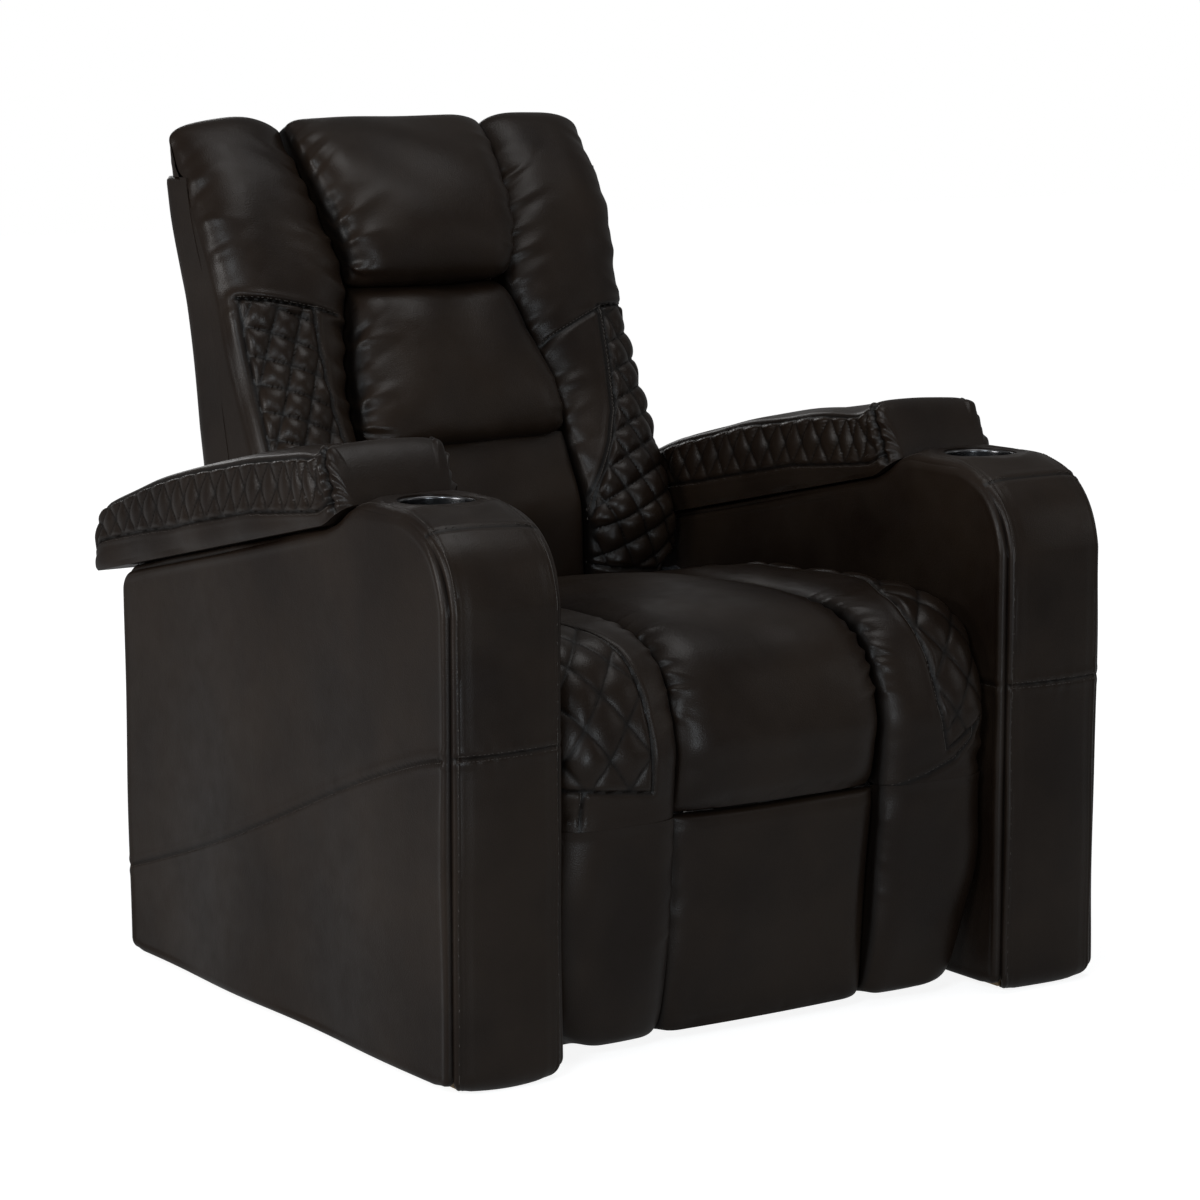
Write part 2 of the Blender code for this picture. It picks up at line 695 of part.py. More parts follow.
def add_base_frame(chair):
    """Cross rails between the arms, slide rails on them, actuator and power inlet."""
    half = ARM_INNER_X - TOUCH_GAP
    for name, place in (("base_front_rail", FRONT_RAIL_PLACE), ("base_rear_rail", REAR_RAIL_PLACE)):
        rail = block(-half, half, place, place + RAIL_DEPTH, RAIL_BOTTOM, RAIL_TOP)
        chair.add_mesh(name, rail, "base", "wood", smooth=False)
    wall = SLIDE_RAIL_WALL
    bottom = RAIL_TOP + TOUCH_GAP
    top = bottom + SLIDE_RAIL_HEIGHT
    for side, word in ((1, "left"), (-1, "right")):
        outer = side * SLIDE_RAIL_OUTER_X
        inner = side * SLIDE_RAIL_INNER_X
        outline = [
            (inner, bottom), (outer, bottom), (outer, top), (outer - side * wall, top),
            (outer - side * wall, bottom + wall), (inner + side * wall, bottom + wall),
            (inner + side * wall, top), (inner, top),
        ]
        bm = bmesh.new()
        add_loops(bm, [[(x, y, z) for x, z in outline] for y in (SLIDE_RAIL_FRONT, SLIDE_RAIL_REAR)])
        chair.add_mesh(word + "_slide_rail", bm, "base", "zinc", smooth=False)

    add_actuator(chair)
    rear = REAR_RAIL_PLACE + RAIL_DEPTH + TOUCH_GAP
    middle = RAIL_BOTTOM + RAIL_HEIGHT / 2
    inlet = chair.add_mesh(
        "power_inlet",
        block(INLET_PLACE - INLET_WIDTH / 2, INLET_PLACE + INLET_WIDTH / 2, rear, rear + INLET_DEPTH,
              middle - INLET_HEIGHT / 2, middle + INLET_HEIGHT / 2),
        "base", "plastic", smooth=False,
    )
    reach = INLET_SOCKET / 2
    socket = block(INLET_PLACE - reach, INLET_PLACE + reach, rear + INLET_DEPTH - INLET_SOCKET_DEPTH,
                   rear + INLET_DEPTH + CUT_OVERRUN, middle - reach, middle + reach)
    cut(inlet, chair.add_mesh("inlet_socket_cutter", socket, "base", "plastic"))


def add_actuator(chair):
    """A linear actuator along the chair: motor, gearbox, tube and rear mount."""
    z = DRIVE_HEIGHT
    tube = chair.add_mesh(
        "actuator_body",
        rod_y(0, z, ACTUATOR_TUBE_RADIUS, ACTUATOR_TUBE_FRONT, ACTUATOR_TUBE_REAR, TUBE_SIDES),
        "base", "plastic",
    )
    gearbox_front = ACTUATOR_TUBE_REAR - GEARBOX_LENGTH / 2
    gearbox = block(-GEARBOX_WIDTH / 2 + MOTOR_OFFSET / 2, GEARBOX_WIDTH / 2 + MOTOR_OFFSET / 2,
                    gearbox_front, gearbox_front + GEARBOX_LENGTH,
                    z - GEARBOX_HEIGHT / 2, z + GEARBOX_HEIGHT / 2)
    cut(tube, chair.add_mesh("gearbox_guide", gearbox, "base", "plastic"), "UNION")
    motor = rod_y(MOTOR_OFFSET, z, MOTOR_RADIUS, gearbox_front - MOTOR_LENGTH,
                  gearbox_front + GEARBOX_LENGTH / 2, TUBE_SIDES)
    cut(tube, chair.add_mesh("motor_guide", motor, "base", "plastic"), "UNION")
    lug = block(-LUG_THICKNESS / 2, LUG_THICKNESS / 2, gearbox_front + GEARBOX_LENGTH / 2,
                LUG_PIN_PLACE + LUG_RADIUS, z - LUG_RADIUS, z + LUG_RADIUS)
    cut(tube, chair.add_mesh("lug_guide", lug, "base", "plastic"), "UNION")
    bore = rod_y(0, z, ACTUATOR_BORE_RADIUS, ACTUATOR_TUBE_FRONT - CUT_OVERRUN,
                 ACTUATOR_BORE_END, PIN_SIDES)
    cut(tube, chair.add_mesh("actuator_bore_cutter", bore, "base", "plastic"))
    pin_hole = rod_x((LUG_PIN_PLACE, z), hole_radius(LUG_PIN_RADIUS),
                     -LUG_THICKNESS, LUG_THICKNESS)
    cut(tube, chair.add_mesh("lug_hole_cutter", pin_hole, "base", "plastic"))

    ear_inner = LUG_THICKNESS / 2 + TOUCH_GAP
    ear_outer = ear_inner + MOUNT_EAR_THICKNESS
    foot = RAIL_TOP + TOUCH_GAP
    head = z + LUG_RADIUS
    outline = [
        (-ear_outer, foot), (ear_outer, foot), (ear_outer, head), (ear_inner, head),
        (ear_inner, foot + MOUNT_EAR_THICKNESS), (-ear_inner, foot + MOUNT_EAR_THICKNESS),
        (-ear_inner, head), (-ear_outer, head),
    ]
    bm = bmesh.new()
    ends = (LUG_PIN_PLACE - LUG_RADIUS, LUG_PIN_PLACE + LUG_RADIUS)
    add_loops(bm, [[(x, y, h) for x, h in outline] for y in ends])
    mount = chair.add_mesh("actuator_mount", bm, "base", "steel", smooth=False)
    pin = rod_x((LUG_PIN_PLACE, z), LUG_PIN_RADIUS, -ear_outer - MOUNT_EAR_THICKNESS,
                ear_outer + MOUNT_EAR_THICKNESS)
    cut(mount, chair.add_mesh("mount_pin_guide", pin, "base", "steel"), "UNION")


# Carriage

def side_plate_outline():
    """(y, z) outline of a mechanism side plate: two feet, hinge ear and front arm."""
    top = SEAT_BASE_HEIGHT - TOUCH_GAP
    foot = PLATE_BOTTOM
    instep = foot + SIDE_PLATE_STRAP
    strap = SIDE_PLATE_STRAP
    ear_y, ear_z = BACK_HINGE
    ear = BACK_BRACKET_WIDTH / 2 + SIDE_PLATE_THICKNESS
    main_y, main_z = MAIN_PIVOT
    boss = LINK_WIDTH
    front = SEAT_ROLL_BACK + TOUCH_GAP
    beam_foot = top - FRONT_BEAM_HEIGHT
    outline = [
        (RUNNER_FRONT, foot), (RUNNER_FRONT + SIDE_PLATE_FOOT, foot),
        (RUNNER_FRONT + SIDE_PLATE_FOOT, instep), (RUNNER_REAR - SIDE_PLATE_FOOT, instep),
        (RUNNER_REAR - SIDE_PLATE_FOOT, foot), (RUNNER_REAR, foot), (RUNNER_REAR, instep),
        (ear_y + ear, instep + strap),
    ]
    steps = 6
    for k in range(steps + 1):
        angle = math.pi * k / steps
        outline.append((ear_y + ear * math.cos(angle), ear_z + ear * math.sin(angle)))
    outline += [(ear_y - ear, top), (front, top), (front, beam_foot),
                (main_y - boss, main_z)]
    for k in range(1, steps):
        angle = math.pi + math.pi * k / steps
        outline.append((main_y + boss * math.cos(angle), main_z + boss * math.sin(angle)))
    outline.append((main_y + boss, main_z))
    outline.append((RUNNER_FRONT, instep))
    return outline


def add_carriage(chair):
    """Runners, side plates, beams, springs and the driven parts of the carriage."""
    chair.add_body("carriage", "base", (0, MAIN_PIVOT[0], PLATE_BOTTOM))
    wall = SLIDE_RAIL_WALL + TOUCH_GAP
    for side, word in ((1, "left"), (-1, "right")):
        runner = block(side * (SLIDE_RAIL_INNER_X + wall), side * (SLIDE_RAIL_OUTER_X - wall),
                       RUNNER_FRONT, RUNNER_REAR, RUNNER_BOTTOM, RUNNER_BOTTOM + RUNNER_HEIGHT)
        chair.add_mesh(word + "_runner", runner, "carriage", "nylon", smooth=False)
        plate = prism_x(side_plate_outline(), side * PLATE_INNER_X, side * PLATE_OUTER_X)
        plate = chair.add_mesh(word + "_side_plate", plate, "carriage", "steel", smooth=False)
        reach = (side * (PLATE_INNER_X - CUT_OVERRUN), side * (PLATE_OUTER_X + CUT_OVERRUN))
        for name, centre, radius in (
            ("back_pin", BACK_HINGE, HINGE_PIN_RADIUS),
            ("torque_tube", MAIN_PIVOT, TORQUE_TUBE_RADIUS),
        ):
            hole = rod_x(centre, hole_radius(radius), *reach)
            cutter = chair.add_mesh(word + "_" + name + "_hole_cutter", hole, "carriage", "steel")
            cut(plate, cutter)

    half = PLATE_INNER_X - TOUCH_GAP
    top = SEAT_BASE_HEIGHT - 2 * SPRING_WIRE_RADIUS - 2 * TOUCH_GAP
    front = SEAT_ROLL_BACK + TOUCH_GAP
    beam = block(-half, half, front, front + FRONT_BEAM_DEPTH, top - FRONT_BEAM_HEIGHT, top)
    chair.add_mesh("seat_front_beam", beam, "carriage", "wood", smooth=False)
    rear = REAR_BEAM_PLACE
    beam = block(-half, half, rear, rear + REAR_BEAM_DEPTH, top - REAR_BEAM_HEIGHT, top)
    chair.add_mesh("seat_rear_beam", beam, "carriage", "wood", smooth=False)

    for k, word in enumerate(("right", "middle", "left")):
        add_spring(chair, word + "_seat_spring", (k - 1) * SPRING_SPACING,
                   front + SPRING_LAND, rear + REAR_BEAM_DEPTH - SPRING_LAND,
                   top + TOUCH_GAP + SPRING_WIRE_RADIUS)

    bar = rod_x((DRIVE_BAR_PLACE, DRIVE_HEIGHT), DRIVE_BAR_RADIUS, -half, half)
    chair.add_mesh("drive_bar", bar, "carriage", "steel")
    eye_rear = DRIVE_BAR_PLACE + ROD_EYE_SIZE / 2
    rod = chair.add_mesh(
        "actuator_rod",
        rod_y(0, DRIVE_HEIGHT, ACTUATOR_ROD_RADIUS, eye_rear - CUT_OVERRUN, ACTUATOR_ROD_REAR),
        "carriage", "zinc",
    )
    eye = block(-ROD_EYE_SIZE / 2, ROD_EYE_SIZE / 2, DRIVE_BAR_PLACE - ROD_EYE_SIZE / 2, eye_rear,
                DRIVE_HEIGHT - ROD_EYE_SIZE / 2, DRIVE_HEIGHT + ROD_EYE_SIZE / 2)
    cut(rod, chair.add_mesh("rod_eye_guide", eye, "carriage", "zinc"), "UNION")
    hole = rod_x((DRIVE_BAR_PLACE, DRIVE_HEIGHT), hole_radius(DRIVE_BAR_RADIUS),
                 -ROD_EYE_SIZE, ROD_EYE_SIZE)
    cut(rod, chair.add_mesh("rod_eye_cutter", hole, "carriage", "zinc"))


def add_spring(chair, name, x, y0, y1, z):
    """A sinuous seat spring: one wire that swings from side to side as it runs back."""
    count = SPRING_WAVES * SPRING_STEPS_PER_WAVE
    curve = bpy.data.curves.new(name, "CURVE")
    curve.dimensions = "3D"
    curve.bevel_depth = SPRING_WIRE_RADIUS
    curve.bevel_resolution = 0
    curve.use_fill_caps = True
    curve.render_resolution_u = 0
    spline = curve.splines.new("POLY")
    spline.points.add(count)
    body_empty, body_place = chair.bodies["carriage"]
    for k in range(count + 1):
        swing = SPRING_AMPLITUDE * math.sin(math.tau * k / SPRING_STEPS_PER_WAVE)
        point = Vector((x + swing, y0 + (y1 - y0) * k / count, z)) - body_place
        spline.points[k].co = (*point, 1.0)
    item = bpy.data.objects.new(name, curve)
    bpy.context.scene.collection.objects.link(item)
    curve.materials.append(chair.materials["steel"])
    item.parent = body_empty


# Soft forms

def path_normals(path):
    """Unit normals to the left of a (y, z) path."""
    normals = []
    for k in range(len(path)):
        first = path[max(k - 1, 0)]
        second = path[min(k + 1, len(path) - 1)]
        dy = second[0] - first[0]
        dz = second[1] - first[1]
        length = math.hypot(dy, dz)
        normals.append((-dz / length, dy / length))
    return normals


def crowned_grid(path, stations, x_at, puff, level_end=None):
    """Front surface of a cushion: a (y, z) path carried across by stations.

    A station is (share across, drop); the drop pulls the path inwards there,
    which crowns the middle and draws the sides in. puff(i, j) adds the tufts.
    level_end is "foot" or "head" where the cushion meets another along a
    level fold, and is drawn in there without leaving that level.
    """
    normals = path_normals(path)
    if level_end == "foot":
        normals = [(ny, max(nz, 0.0)) for ny, nz in normals]
    elif level_end == "head":
        normals = [(ny, min(nz, 0.0)) for ny, nz in normals]
    grid = []
    for i, (share, drop) in enumerate(stations):
        row = []
        for j, ((y, z), (ny, nz)) in enumerate(zip(path, normals)):
            out = puff(i, j) - drop
            height = z + nz * out
            row.append(Vector((x_at(share, height), y + ny * out, height)))
        grid.append(row)
    return grid


def cushion(grid, back_path, x_at, shares):
    """Close a front grid with flat sides and a back that follows back_path.

    Each front quad is split along the diagonal that joins its two stitched
    corners, so a chessboard of raised and sunk points reads as diamond tufts.
    """
    bm = bmesh.new()
    front = [[bm.verts.new(point) for point in row] for row in grid]
    back = [[bm.verts.new((x_at(share, z), y, z)) for y, z in back_path] for share in shares]
    last = len(front[0]) - 1
    for i in range(len(front) - 1):
        for j in range(last):
            a, b = front[i][j], front[i][j + 1]
            c, d = front[i + 1][j + 1], front[i + 1][j]
            if (i + j) % 2 == 0:
                bm.faces.new((a, b, c))
                bm.faces.new((a, c, d))
            else:
                bm.faces.new((a, b, d))
                bm.faces.new((b, c, d))
    for j in range(last):
        bm.faces.new((front[0][j], back[0][j], back[0][j + 1], front[0][j + 1]))
        bm.faces.new((front[-1][j], front[-1][j + 1], back[1][j + 1], back[1][j]))
        bm.faces.new((back[0][j], back[1][j], back[1][j + 1], back[0][j + 1]))
    for j in (0, last):
        bm.faces.new([row[j] for row in front] + [back[1][j], back[0][j]])
    return bm


def plain(_i, _j):
    """No tufts."""
    return 0.0


# Seat profile from the fold up over the front roll to its top rear edge:
# share of the depth from front to rear, and of the height from fold to top.
SEAT_PROFILE_SHARES = [
    (0.035, 0.0), (0.015, 0.090), (0.005, 0.232), (0.000, 0.408), (0.040, 0.735), (0.119, 0.934),
    (0.245, 1.000), (0.476, 0.980), (0.684, 0.940), (0.935, 0.825), (1.000, 0.745),
]
# Crown across a cushion: share across, and share of the edge drop.
CUSHION_CROWN_SHARES = [
    (0.0, 1.0), (0.05, 0.45), (0.16, 0.10), (0.34, 0.0), (0.5, -0.1), (0.66, 0.0), (0.84, 0.10),
    (0.95, 0.45), (1.0, 1.0),
]
# Where the tufted panel of a seat bolster begins on its front and on its top,
# and where it ends, across the bolster.
QUILT_FRONT_SHARE = 0.25
QUILT_TOP_SHARE = 0.62
QUILT_END_SHARE = 0.90
BOLSTER_CROWN_SHARES = [
    (0.0, 0.5), (0.07, 0.2), (0.20, 0.03), (0.33, -0.08), (0.46, -0.12), (0.59, -0.08),
    (0.72, 0.0), (0.85, 0.16), (0.95, 0.5), (1.0, 1.0),
]


def seat_profile(count):
    """The seat's outer path, from the fold over the front roll to the rear."""
    depth = SEAT_REAR - SEAT_FRONT
    height = SEAT_TOP_HEIGHT - FOLD_HEIGHT
    points = [(SEAT_FRONT + depth * a, FOLD_HEIGHT + height * b) for a, b in SEAT_PROFILE_SHARES]
    return smooth_path(points, count)


def seat_back_path(count):
    """The seat's underside: up behind the front roll, then back along the springs."""
    base = SEAT_BASE_HEIGHT
    corner = (SEAT_ROLL_BACK, base)
    end = (SEAT_ROLL_BACK, FOLD_HEIGHT + FOLD_DEPTH)
    rise = max(3, count // 6)
    along = even_path([corner, (SEAT_REAR, base)], count - rise + 1)
    return even_path([end, corner], rise)[:-1] + along


def add_seat(chair):
    """Centre seat cushion and the two quilted bolsters that run beside it."""
    count = 24
    path = seat_profile(count)
    back = seat_back_path(count)
    half = CHANNEL_HALF_WIDTH
    stations = [(a, b * CUSHION_EDGE_DROP) for a, b in CUSHION_CROWN_SHARES]

    def centre_x(share, _z):
        return (2 * share - 1) * half

    grid = crowned_grid(path, stations, centre_x, plain, "foot")
    bm = cushion(grid, back, centre_x, (0, 1))
    chair.add_mesh("seat_cushion", bm, "carriage", "leather")

    inner = CHANNEL_HALF_WIDTH + CHANNEL_GAP
    width = SEAT_HALF_WIDTH - inner
    stations = [(a, b * BOLSTER_EDGE_DROP) for a, b in BOLSTER_CROWN_SHARES]
    count = 31
    path = seat_profile(count)
    back = seat_back_path(count)
    roll_depth = SEAT_ROLL_BACK + FRONT_BEAM_DEPTH

    def quilt(i, j):
        y, z = path[j]
        inner_share = QUILT_FRONT_SHARE if y < roll_depth else QUILT_TOP_SHARE
        low = FOLD_HEIGHT + CUSHION_EDGE_DROP
        if not inner_share < stations[i][0] < QUILT_END_SHARE or z < low or j < 1:
            return 0.0
        return QUILT_DEPTH / 2 if (i + j) % 2 else -QUILT_DEPTH / 2

    for side, word in ((1, "left"), (-1, "right")):
        def bolster_x(share, _z, side=side):
            return side * (inner + width * share)

        grid = crowned_grid(path, stations, bolster_x, quilt, "foot")
        bm = cushion(grid, back, bolster_x, (0, 1))
        chair.add_mesh(word + "_seat_bolster", bm, "carriage", "leather")


# Back

def rear_plane(z):
    """Depth of the back's rear face at a height."""
    return BACK_REAR_AT_FOOT + BACK_SLOPE * (z - BACK_FOOT_HEIGHT)


def frame_plane(z):
    """Depth of the face that the back cushions are fixed to."""
    share = (z - BACK_CUSHION_FOOT) / (SHELL_TOP_HEIGHT - BACK_CUSHION_FOOT)
    return rear_plane(z) - FRAME_DEPTH_LOW - (FRAME_DEPTH_HIGH - FRAME_DEPTH_LOW) * share


# Front of a back bolster, bottom to top and over to the rear: share of the
# height from the cushions' foot to the top, and share of the depth from the
# back hinge to the rear plane.
BACK_BOLSTER_SHARES = [
    (0.000, 0.020), (0.070, 0.010), (0.138, 0.015), (0.288, 0.156), (0.508, 0.367), (0.620, 0.443),
    (0.765, 0.547), (0.877, 0.687), (0.950, 0.830), (0.975, 0.920), (0.955, 0.985), (0.885, 1.000),
]
HEADREST_SHARES = [
    (0.640, 0.500), (0.655, 0.440), (0.700, 0.420), (0.760, 0.450), (0.840, 0.530),
    (0.920, 0.650), (0.975, 0.775), (1.000, 0.890), (0.965, 0.980), (0.885, 1.000),
]
LUMBAR_SHARES = [
    (0.296, 0.230), (0.320, 0.175), (0.400, 0.210), (0.500, 0.310), (0.570, 0.375), (0.608, 0.415),
    (0.622, 0.470),
]
LOWER_PANEL_SHARES = [(0.000, 0.100), (0.150, 0.115), (0.285, 0.215)]
# Half width of the centre pieces at shares of the cushions' height.
CREASE_SHARES = [
    (0.0, 1.00), (0.20, 0.98), (0.32, 0.94), (0.43, 0.90), (0.54, 0.80), (0.62, 0.74),
    (0.70, 0.76), (0.80, 0.84), (0.90, 0.90), (1.0, 0.92),
]


def back_point(height_share, depth_share):
    """A (y, z) place on the back from shares of its height and depth."""
    z = BACK_CUSHION_FOOT + (BACK_TOP_HEIGHT - BACK_CUSHION_FOOT) * height_share
    front = BACK_HINGE_PLACE
    return front + (BACK_REAR_MOST - front) * depth_share, z


def back_path(table, count):
    """Front path of a back cushion, cut off at the rear-most plane."""
    points = [back_point(a, b) for a, b in table]
    path = smooth_path(points, count)
    return [(min(y, BACK_REAR_MOST - REAR_CROWN_ROOM), z) for y, z in path]


def crease_half_width(z):
    """Half width of the centre pieces at a height."""
    share = (z - BACK_CUSHION_FOOT) / (BACK_TOP_HEIGHT - BACK_CUSHION_FOOT)
    return (CHANNEL_HALF_WIDTH + CUSHION_EDGE_DROP) * read_shares(CREASE_SHARES, share)


def frame_side_path(path, over_top):
    """Back of a cushion: up the frame plane and, where asked, over the shell's top."""
    count = len(path)
    foot = path[0][1]
    gap = TOUCH_GAP
    if not over_top:
        head = path[-1][1]
        ends = [(frame_plane(z) - gap, z) for z in (foot, head)]
        return even_path(ends, count)
    level = SHELL_TOP_HEIGHT + gap
    corner = (frame_plane(SHELL_TOP_HEIGHT) - gap, level)
    over = max(4, count // 5)
    up = even_path([(frame_plane(foot) - gap, foot), corner], count - over + 1)
    rear = (BACK_REAR_MOST - PANEL_EDGE_DEPTH, level)
    return up[:-1] + even_path([corner, rear], over)


def add_back(chair):
    """Frame, rear shell, hinge brackets and the cushions of the back."""
    chair.add_body("back", "carriage", (0, *BACK_HINGE))
    foot = BACK_FOOT_HEIGHT
    top = SHELL_TOP_HEIGHT
    half = BACK_HALF_WIDTH
    outline = [(frame_plane(foot), foot), (rear_plane(foot), foot), (rear_plane(top), top),
               (frame_plane(top), top)]
    shell = chair.add_mesh("back_shell", prism_x(outline, -half, half), "back", "leather")
    round_rear_edges(shell)
    inner_half = half - SHELL_SIDE_WALL
    inner_top = top - SHELL_SIDE_WALL
    low = foot - CUT_OVERRUN
    ahead = CUT_OVERRUN
    outline = [
        (frame_plane(low) - ahead, low), (rear_plane(low) - SHELL_WALL, low),
        (rear_plane(inner_top) - SHELL_WALL, inner_top), (frame_plane(inner_top) - ahead, inner_top),
    ]
    hollow = prism_x(outline, -inner_half, inner_half)
    cut(shell, chair.add_mesh("shell_hollow_cutter", hollow, "back", "leather"))

    gap = TOUCH_GAP
    frame_half = inner_half - gap
    frame_top = inner_top - gap
    frame_foot = foot + SHELL_SIDE_WALL
    narrow = BACK_BRACKET_INNER_X - gap
    step = BACK_BRACKET_TOP + gap
    outline = [
        (frame_plane(frame_foot), frame_foot),
        (rear_plane(frame_foot) - SHELL_WALL - gap, frame_foot),
        (rear_plane(frame_top) - SHELL_WALL - gap, frame_top),
        (frame_plane(frame_top), frame_top),
    ]
    frame = chair.add_mesh("back_frame", prism_x(outline, -frame_half, frame_half), "back", "wood",
                           smooth=False)
    for side, word in ((1, "left"), (-1, "right")):
        notch = block(side * narrow, side * (frame_half + CUT_OVERRUN),
                      frame_plane(foot) - FRAME_DEPTH_LOW, rear_plane(top), low, step)
        cut(frame, chair.add_mesh(word + "_frame_notch_cutter", notch, "back", "wood"))
        add_back_bracket(chair, side, word)
    add_back_cushions(chair)


def round_rear_edges(shell):
    """Round the two upright rear edges of the shell."""
    bm = bmesh.new()
    bm.from_mesh(shell.data)
    rear = max(v.co.y for v in bm.verts)
    edges = []
    for edge in bm.edges:
        first, second = (v.co for v in edge.verts)
        upright = abs(first.z - second.z) > BACK_FOOT_HEIGHT / 2
        if upright and max(first.y, second.y) > rear - TOUCH_GAP:
            edges.append(edge)
    bmesh.ops.bevel(bm, geom=edges, offset=SHELL_CORNER_RADIUS, segments=3, affect="EDGES",
                    profile=0.5)
    bm.to_mesh(shell.data)
    bm.free()


def add_back_bracket(chair, side, word):
    """A hinge bracket: an arm forward to the pin, and a plate on the frame's side."""
    hinge_y, hinge_z = BACK_HINGE
    half = BACK_BRACKET_WIDTH / 2
    arm_top = hinge_z + half
    fix_low = frame_plane(arm_top) + PANEL_EDGE_DEPTH
    fix_high = frame_plane(BACK_BRACKET_TOP) + PANEL_EDGE_DEPTH
    fix_width = BACK_BRACKET_WIDTH + half
    outline = []
    steps = 6
    for k in range(steps + 1):
        angle = math.pi / 2 + math.pi * k / steps
        outline.append((hinge_y + half * math.cos(angle), hinge_z + half * math.sin(angle)))
    outline += [(fix_low + fix_width, hinge_z - half), (fix_high + fix_width, BACK_BRACKET_TOP),
                (fix_high, BACK_BRACKET_TOP), (fix_low, arm_top)]
    plate = prism_x(outline, side * BACK_BRACKET_INNER_X, side * BACK_BRACKET_OUTER_X)
    item = chair.add_mesh(word + "_back_bracket", plate, "back", "steel", smooth=False)
    middle = (BACK_BRACKET_INNER_X + BACK_BRACKET_OUTER_X) / 2
    pin = rod_x(BACK_HINGE, HINGE_PIN_RADIUS, side * middle,
                side * (PLATE_OUTER_X + SIDE_PLATE_THICKNESS))
    cut(item, chair.add_mesh(word + "_hinge_pin_guide", pin, "back", "steel"), "UNION")


# Inner edge of the quilted panel across a back bolster, at shares of height.
BACK_QUILT_INNER_SHARES = [(0.0, 0.02), (0.16, 0.04), (0.24, 0.20), (0.34, 0.40), (0.55, 0.45)]
BACK_QUILT_TOP_SHARE = 0.52
BACK_QUILT_RISE_SHARE = 0.06
# How much of the bolsters' edge drop the back bolsters take.
BACK_DROP_SHARE = 0.60


def add_back_cushions(chair):
    """Headrest, lumbar pillow, flat lower panel and the two side bolsters."""
    foot = BACK_CUSHION_FOOT
    height = BACK_TOP_HEIGHT - foot
    crown = [(a, b * CUSHION_EDGE_DROP) for a, b in CUSHION_CROWN_SHARES]
    flat = [(0.0, PANEL_EDGE_DEPTH), (0.1, 0.0), (0.5, -PANEL_EDGE_DEPTH / 2), (0.9, 0.0),
            (1.0, PANEL_EDGE_DEPTH)]

    def centre_x(share, z):
        return (2 * share - 1) * crease_half_width(z)

    for name, table, stations, count, over_top in (
        ("headrest_pillow", HEADREST_SHARES, crown, 19, True),
        ("lumbar_pillow", LUMBAR_SHARES, crown, 13, False),
        ("lower_back_panel", LOWER_PANEL_SHARES, flat, 6, False),
    ):
        path = back_path(table, count)
        grid = crowned_grid(path, stations, centre_x, plain)
        bm = cushion(grid, frame_side_path(path, over_top), centre_x, (0, 1))
        chair.add_mesh(name, bm, "back", "leather")

    count = 31
    path = back_path(BACK_BOLSTER_SHARES, count)
    back = frame_side_path(path, True)
    drop = BOLSTER_EDGE_DROP * BACK_DROP_SHARE
    stations = [(a, b * drop) for a, b in BOLSTER_CROWN_SHARES]

    def quilt(i, j):
        share = (path[j][1] - foot) / height
        across = stations[i][0]
        head = BACK_QUILT_TOP_SHARE + BACK_QUILT_RISE_SHARE * across
        if j < 1 or share > head or across == 1.0:
            return 0.0
        if across < read_shares(BACK_QUILT_INNER_SHARES, share):
            return 0.0
        return QUILT_DEPTH / 2 if (i + j) % 2 else -QUILT_DEPTH / 2

    for side, word in ((1, "left"), (-1, "right")):
        def bolster_x(share, z, side=side):
            inner = crease_half_width(z) + CREASE_GAP
            return side * (inner + (BACK_HALF_WIDTH - inner) * share)

        grid = crowned_grid(path, stations, bolster_x, quilt)
        bm = cushion(grid, back, bolster_x, (0, 1))
        chair.add_mesh(word + "_back_bolster", bm, "back", "leather")


# Footrest

def link_outline(first, second, half):
    """A flat link with round ends between two (y, z) pivots."""
    ey, ez, _length = line_direction(*first, *second)
    outline = []
    steps = 5
    for centre, start in ((second, -math.pi / 2), (first, math.pi / 2)):
        for k in range(steps + 1):
            angle = start + math.pi * k / steps
            a = half * math.cos(angle)
            b = half * math.sin(angle)
            outline.append((centre[0] + a * ey - b * ez, centre[1] + a * ez + b * ey))
    return outline


# Front of the footrest pads, bottom to top: share of the height from the
# floor gap to the top, and of the pad thickness from front to back.
FOOT_PROFILE_SHARES = [
    (0.000, 0.330), (0.060, 0.180), (0.300, 0.060), (0.600, -0.100), (0.860, -0.300),
    (0.940, -0.340), (0.990, -0.240), (0.975, 0.160), (0.900, 0.520),
]
# How much of the bolsters' edge drop the footrest bolsters take.
FOOT_DROP_SHARE = 0.75
# Outer edge of a footrest bolster at shares of the height.
FOOT_EDGE_SHARES = [(0.0, 0.86), (0.08, 0.92), (0.25, 0.97), (0.50, 1.0), (1.0, 1.0)]


def add_footrest(chair):
    """Torque tube, links, brackets, board and pads of the footrest."""
    chair.add_body("rear_links", "carriage", (0, *MAIN_PIVOT))
    chair.add_body("front_links", "rear_links", (0, *ELBOW_PIVOT))
    chair.add_body("footrest", "front_links", (0, *OTTOMAN_PIVOT))
    add_torque_tube(chair)
    for side, word in ((1, "left"), (-1, "right")):
        add_links(chair, side, word)
    board_rear = FOOT_PAD_BACK + TOUCH_GAP + FOOT_BOARD_THICKNESS
    board_foot = FOOT_FLOOR_GAP + FOOT_BOARD_THICKNESS
    board = block(-FOOT_BOARD_HALF_WIDTH, FOOT_BOARD_HALF_WIDTH, FOOT_PAD_BACK + TOUCH_GAP,
                  board_rear, board_foot, FOOT_BOARD_TOP)
    chair.add_mesh("footrest_board", board, "footrest", "wood", smooth=False)
    add_foot_pads(chair)


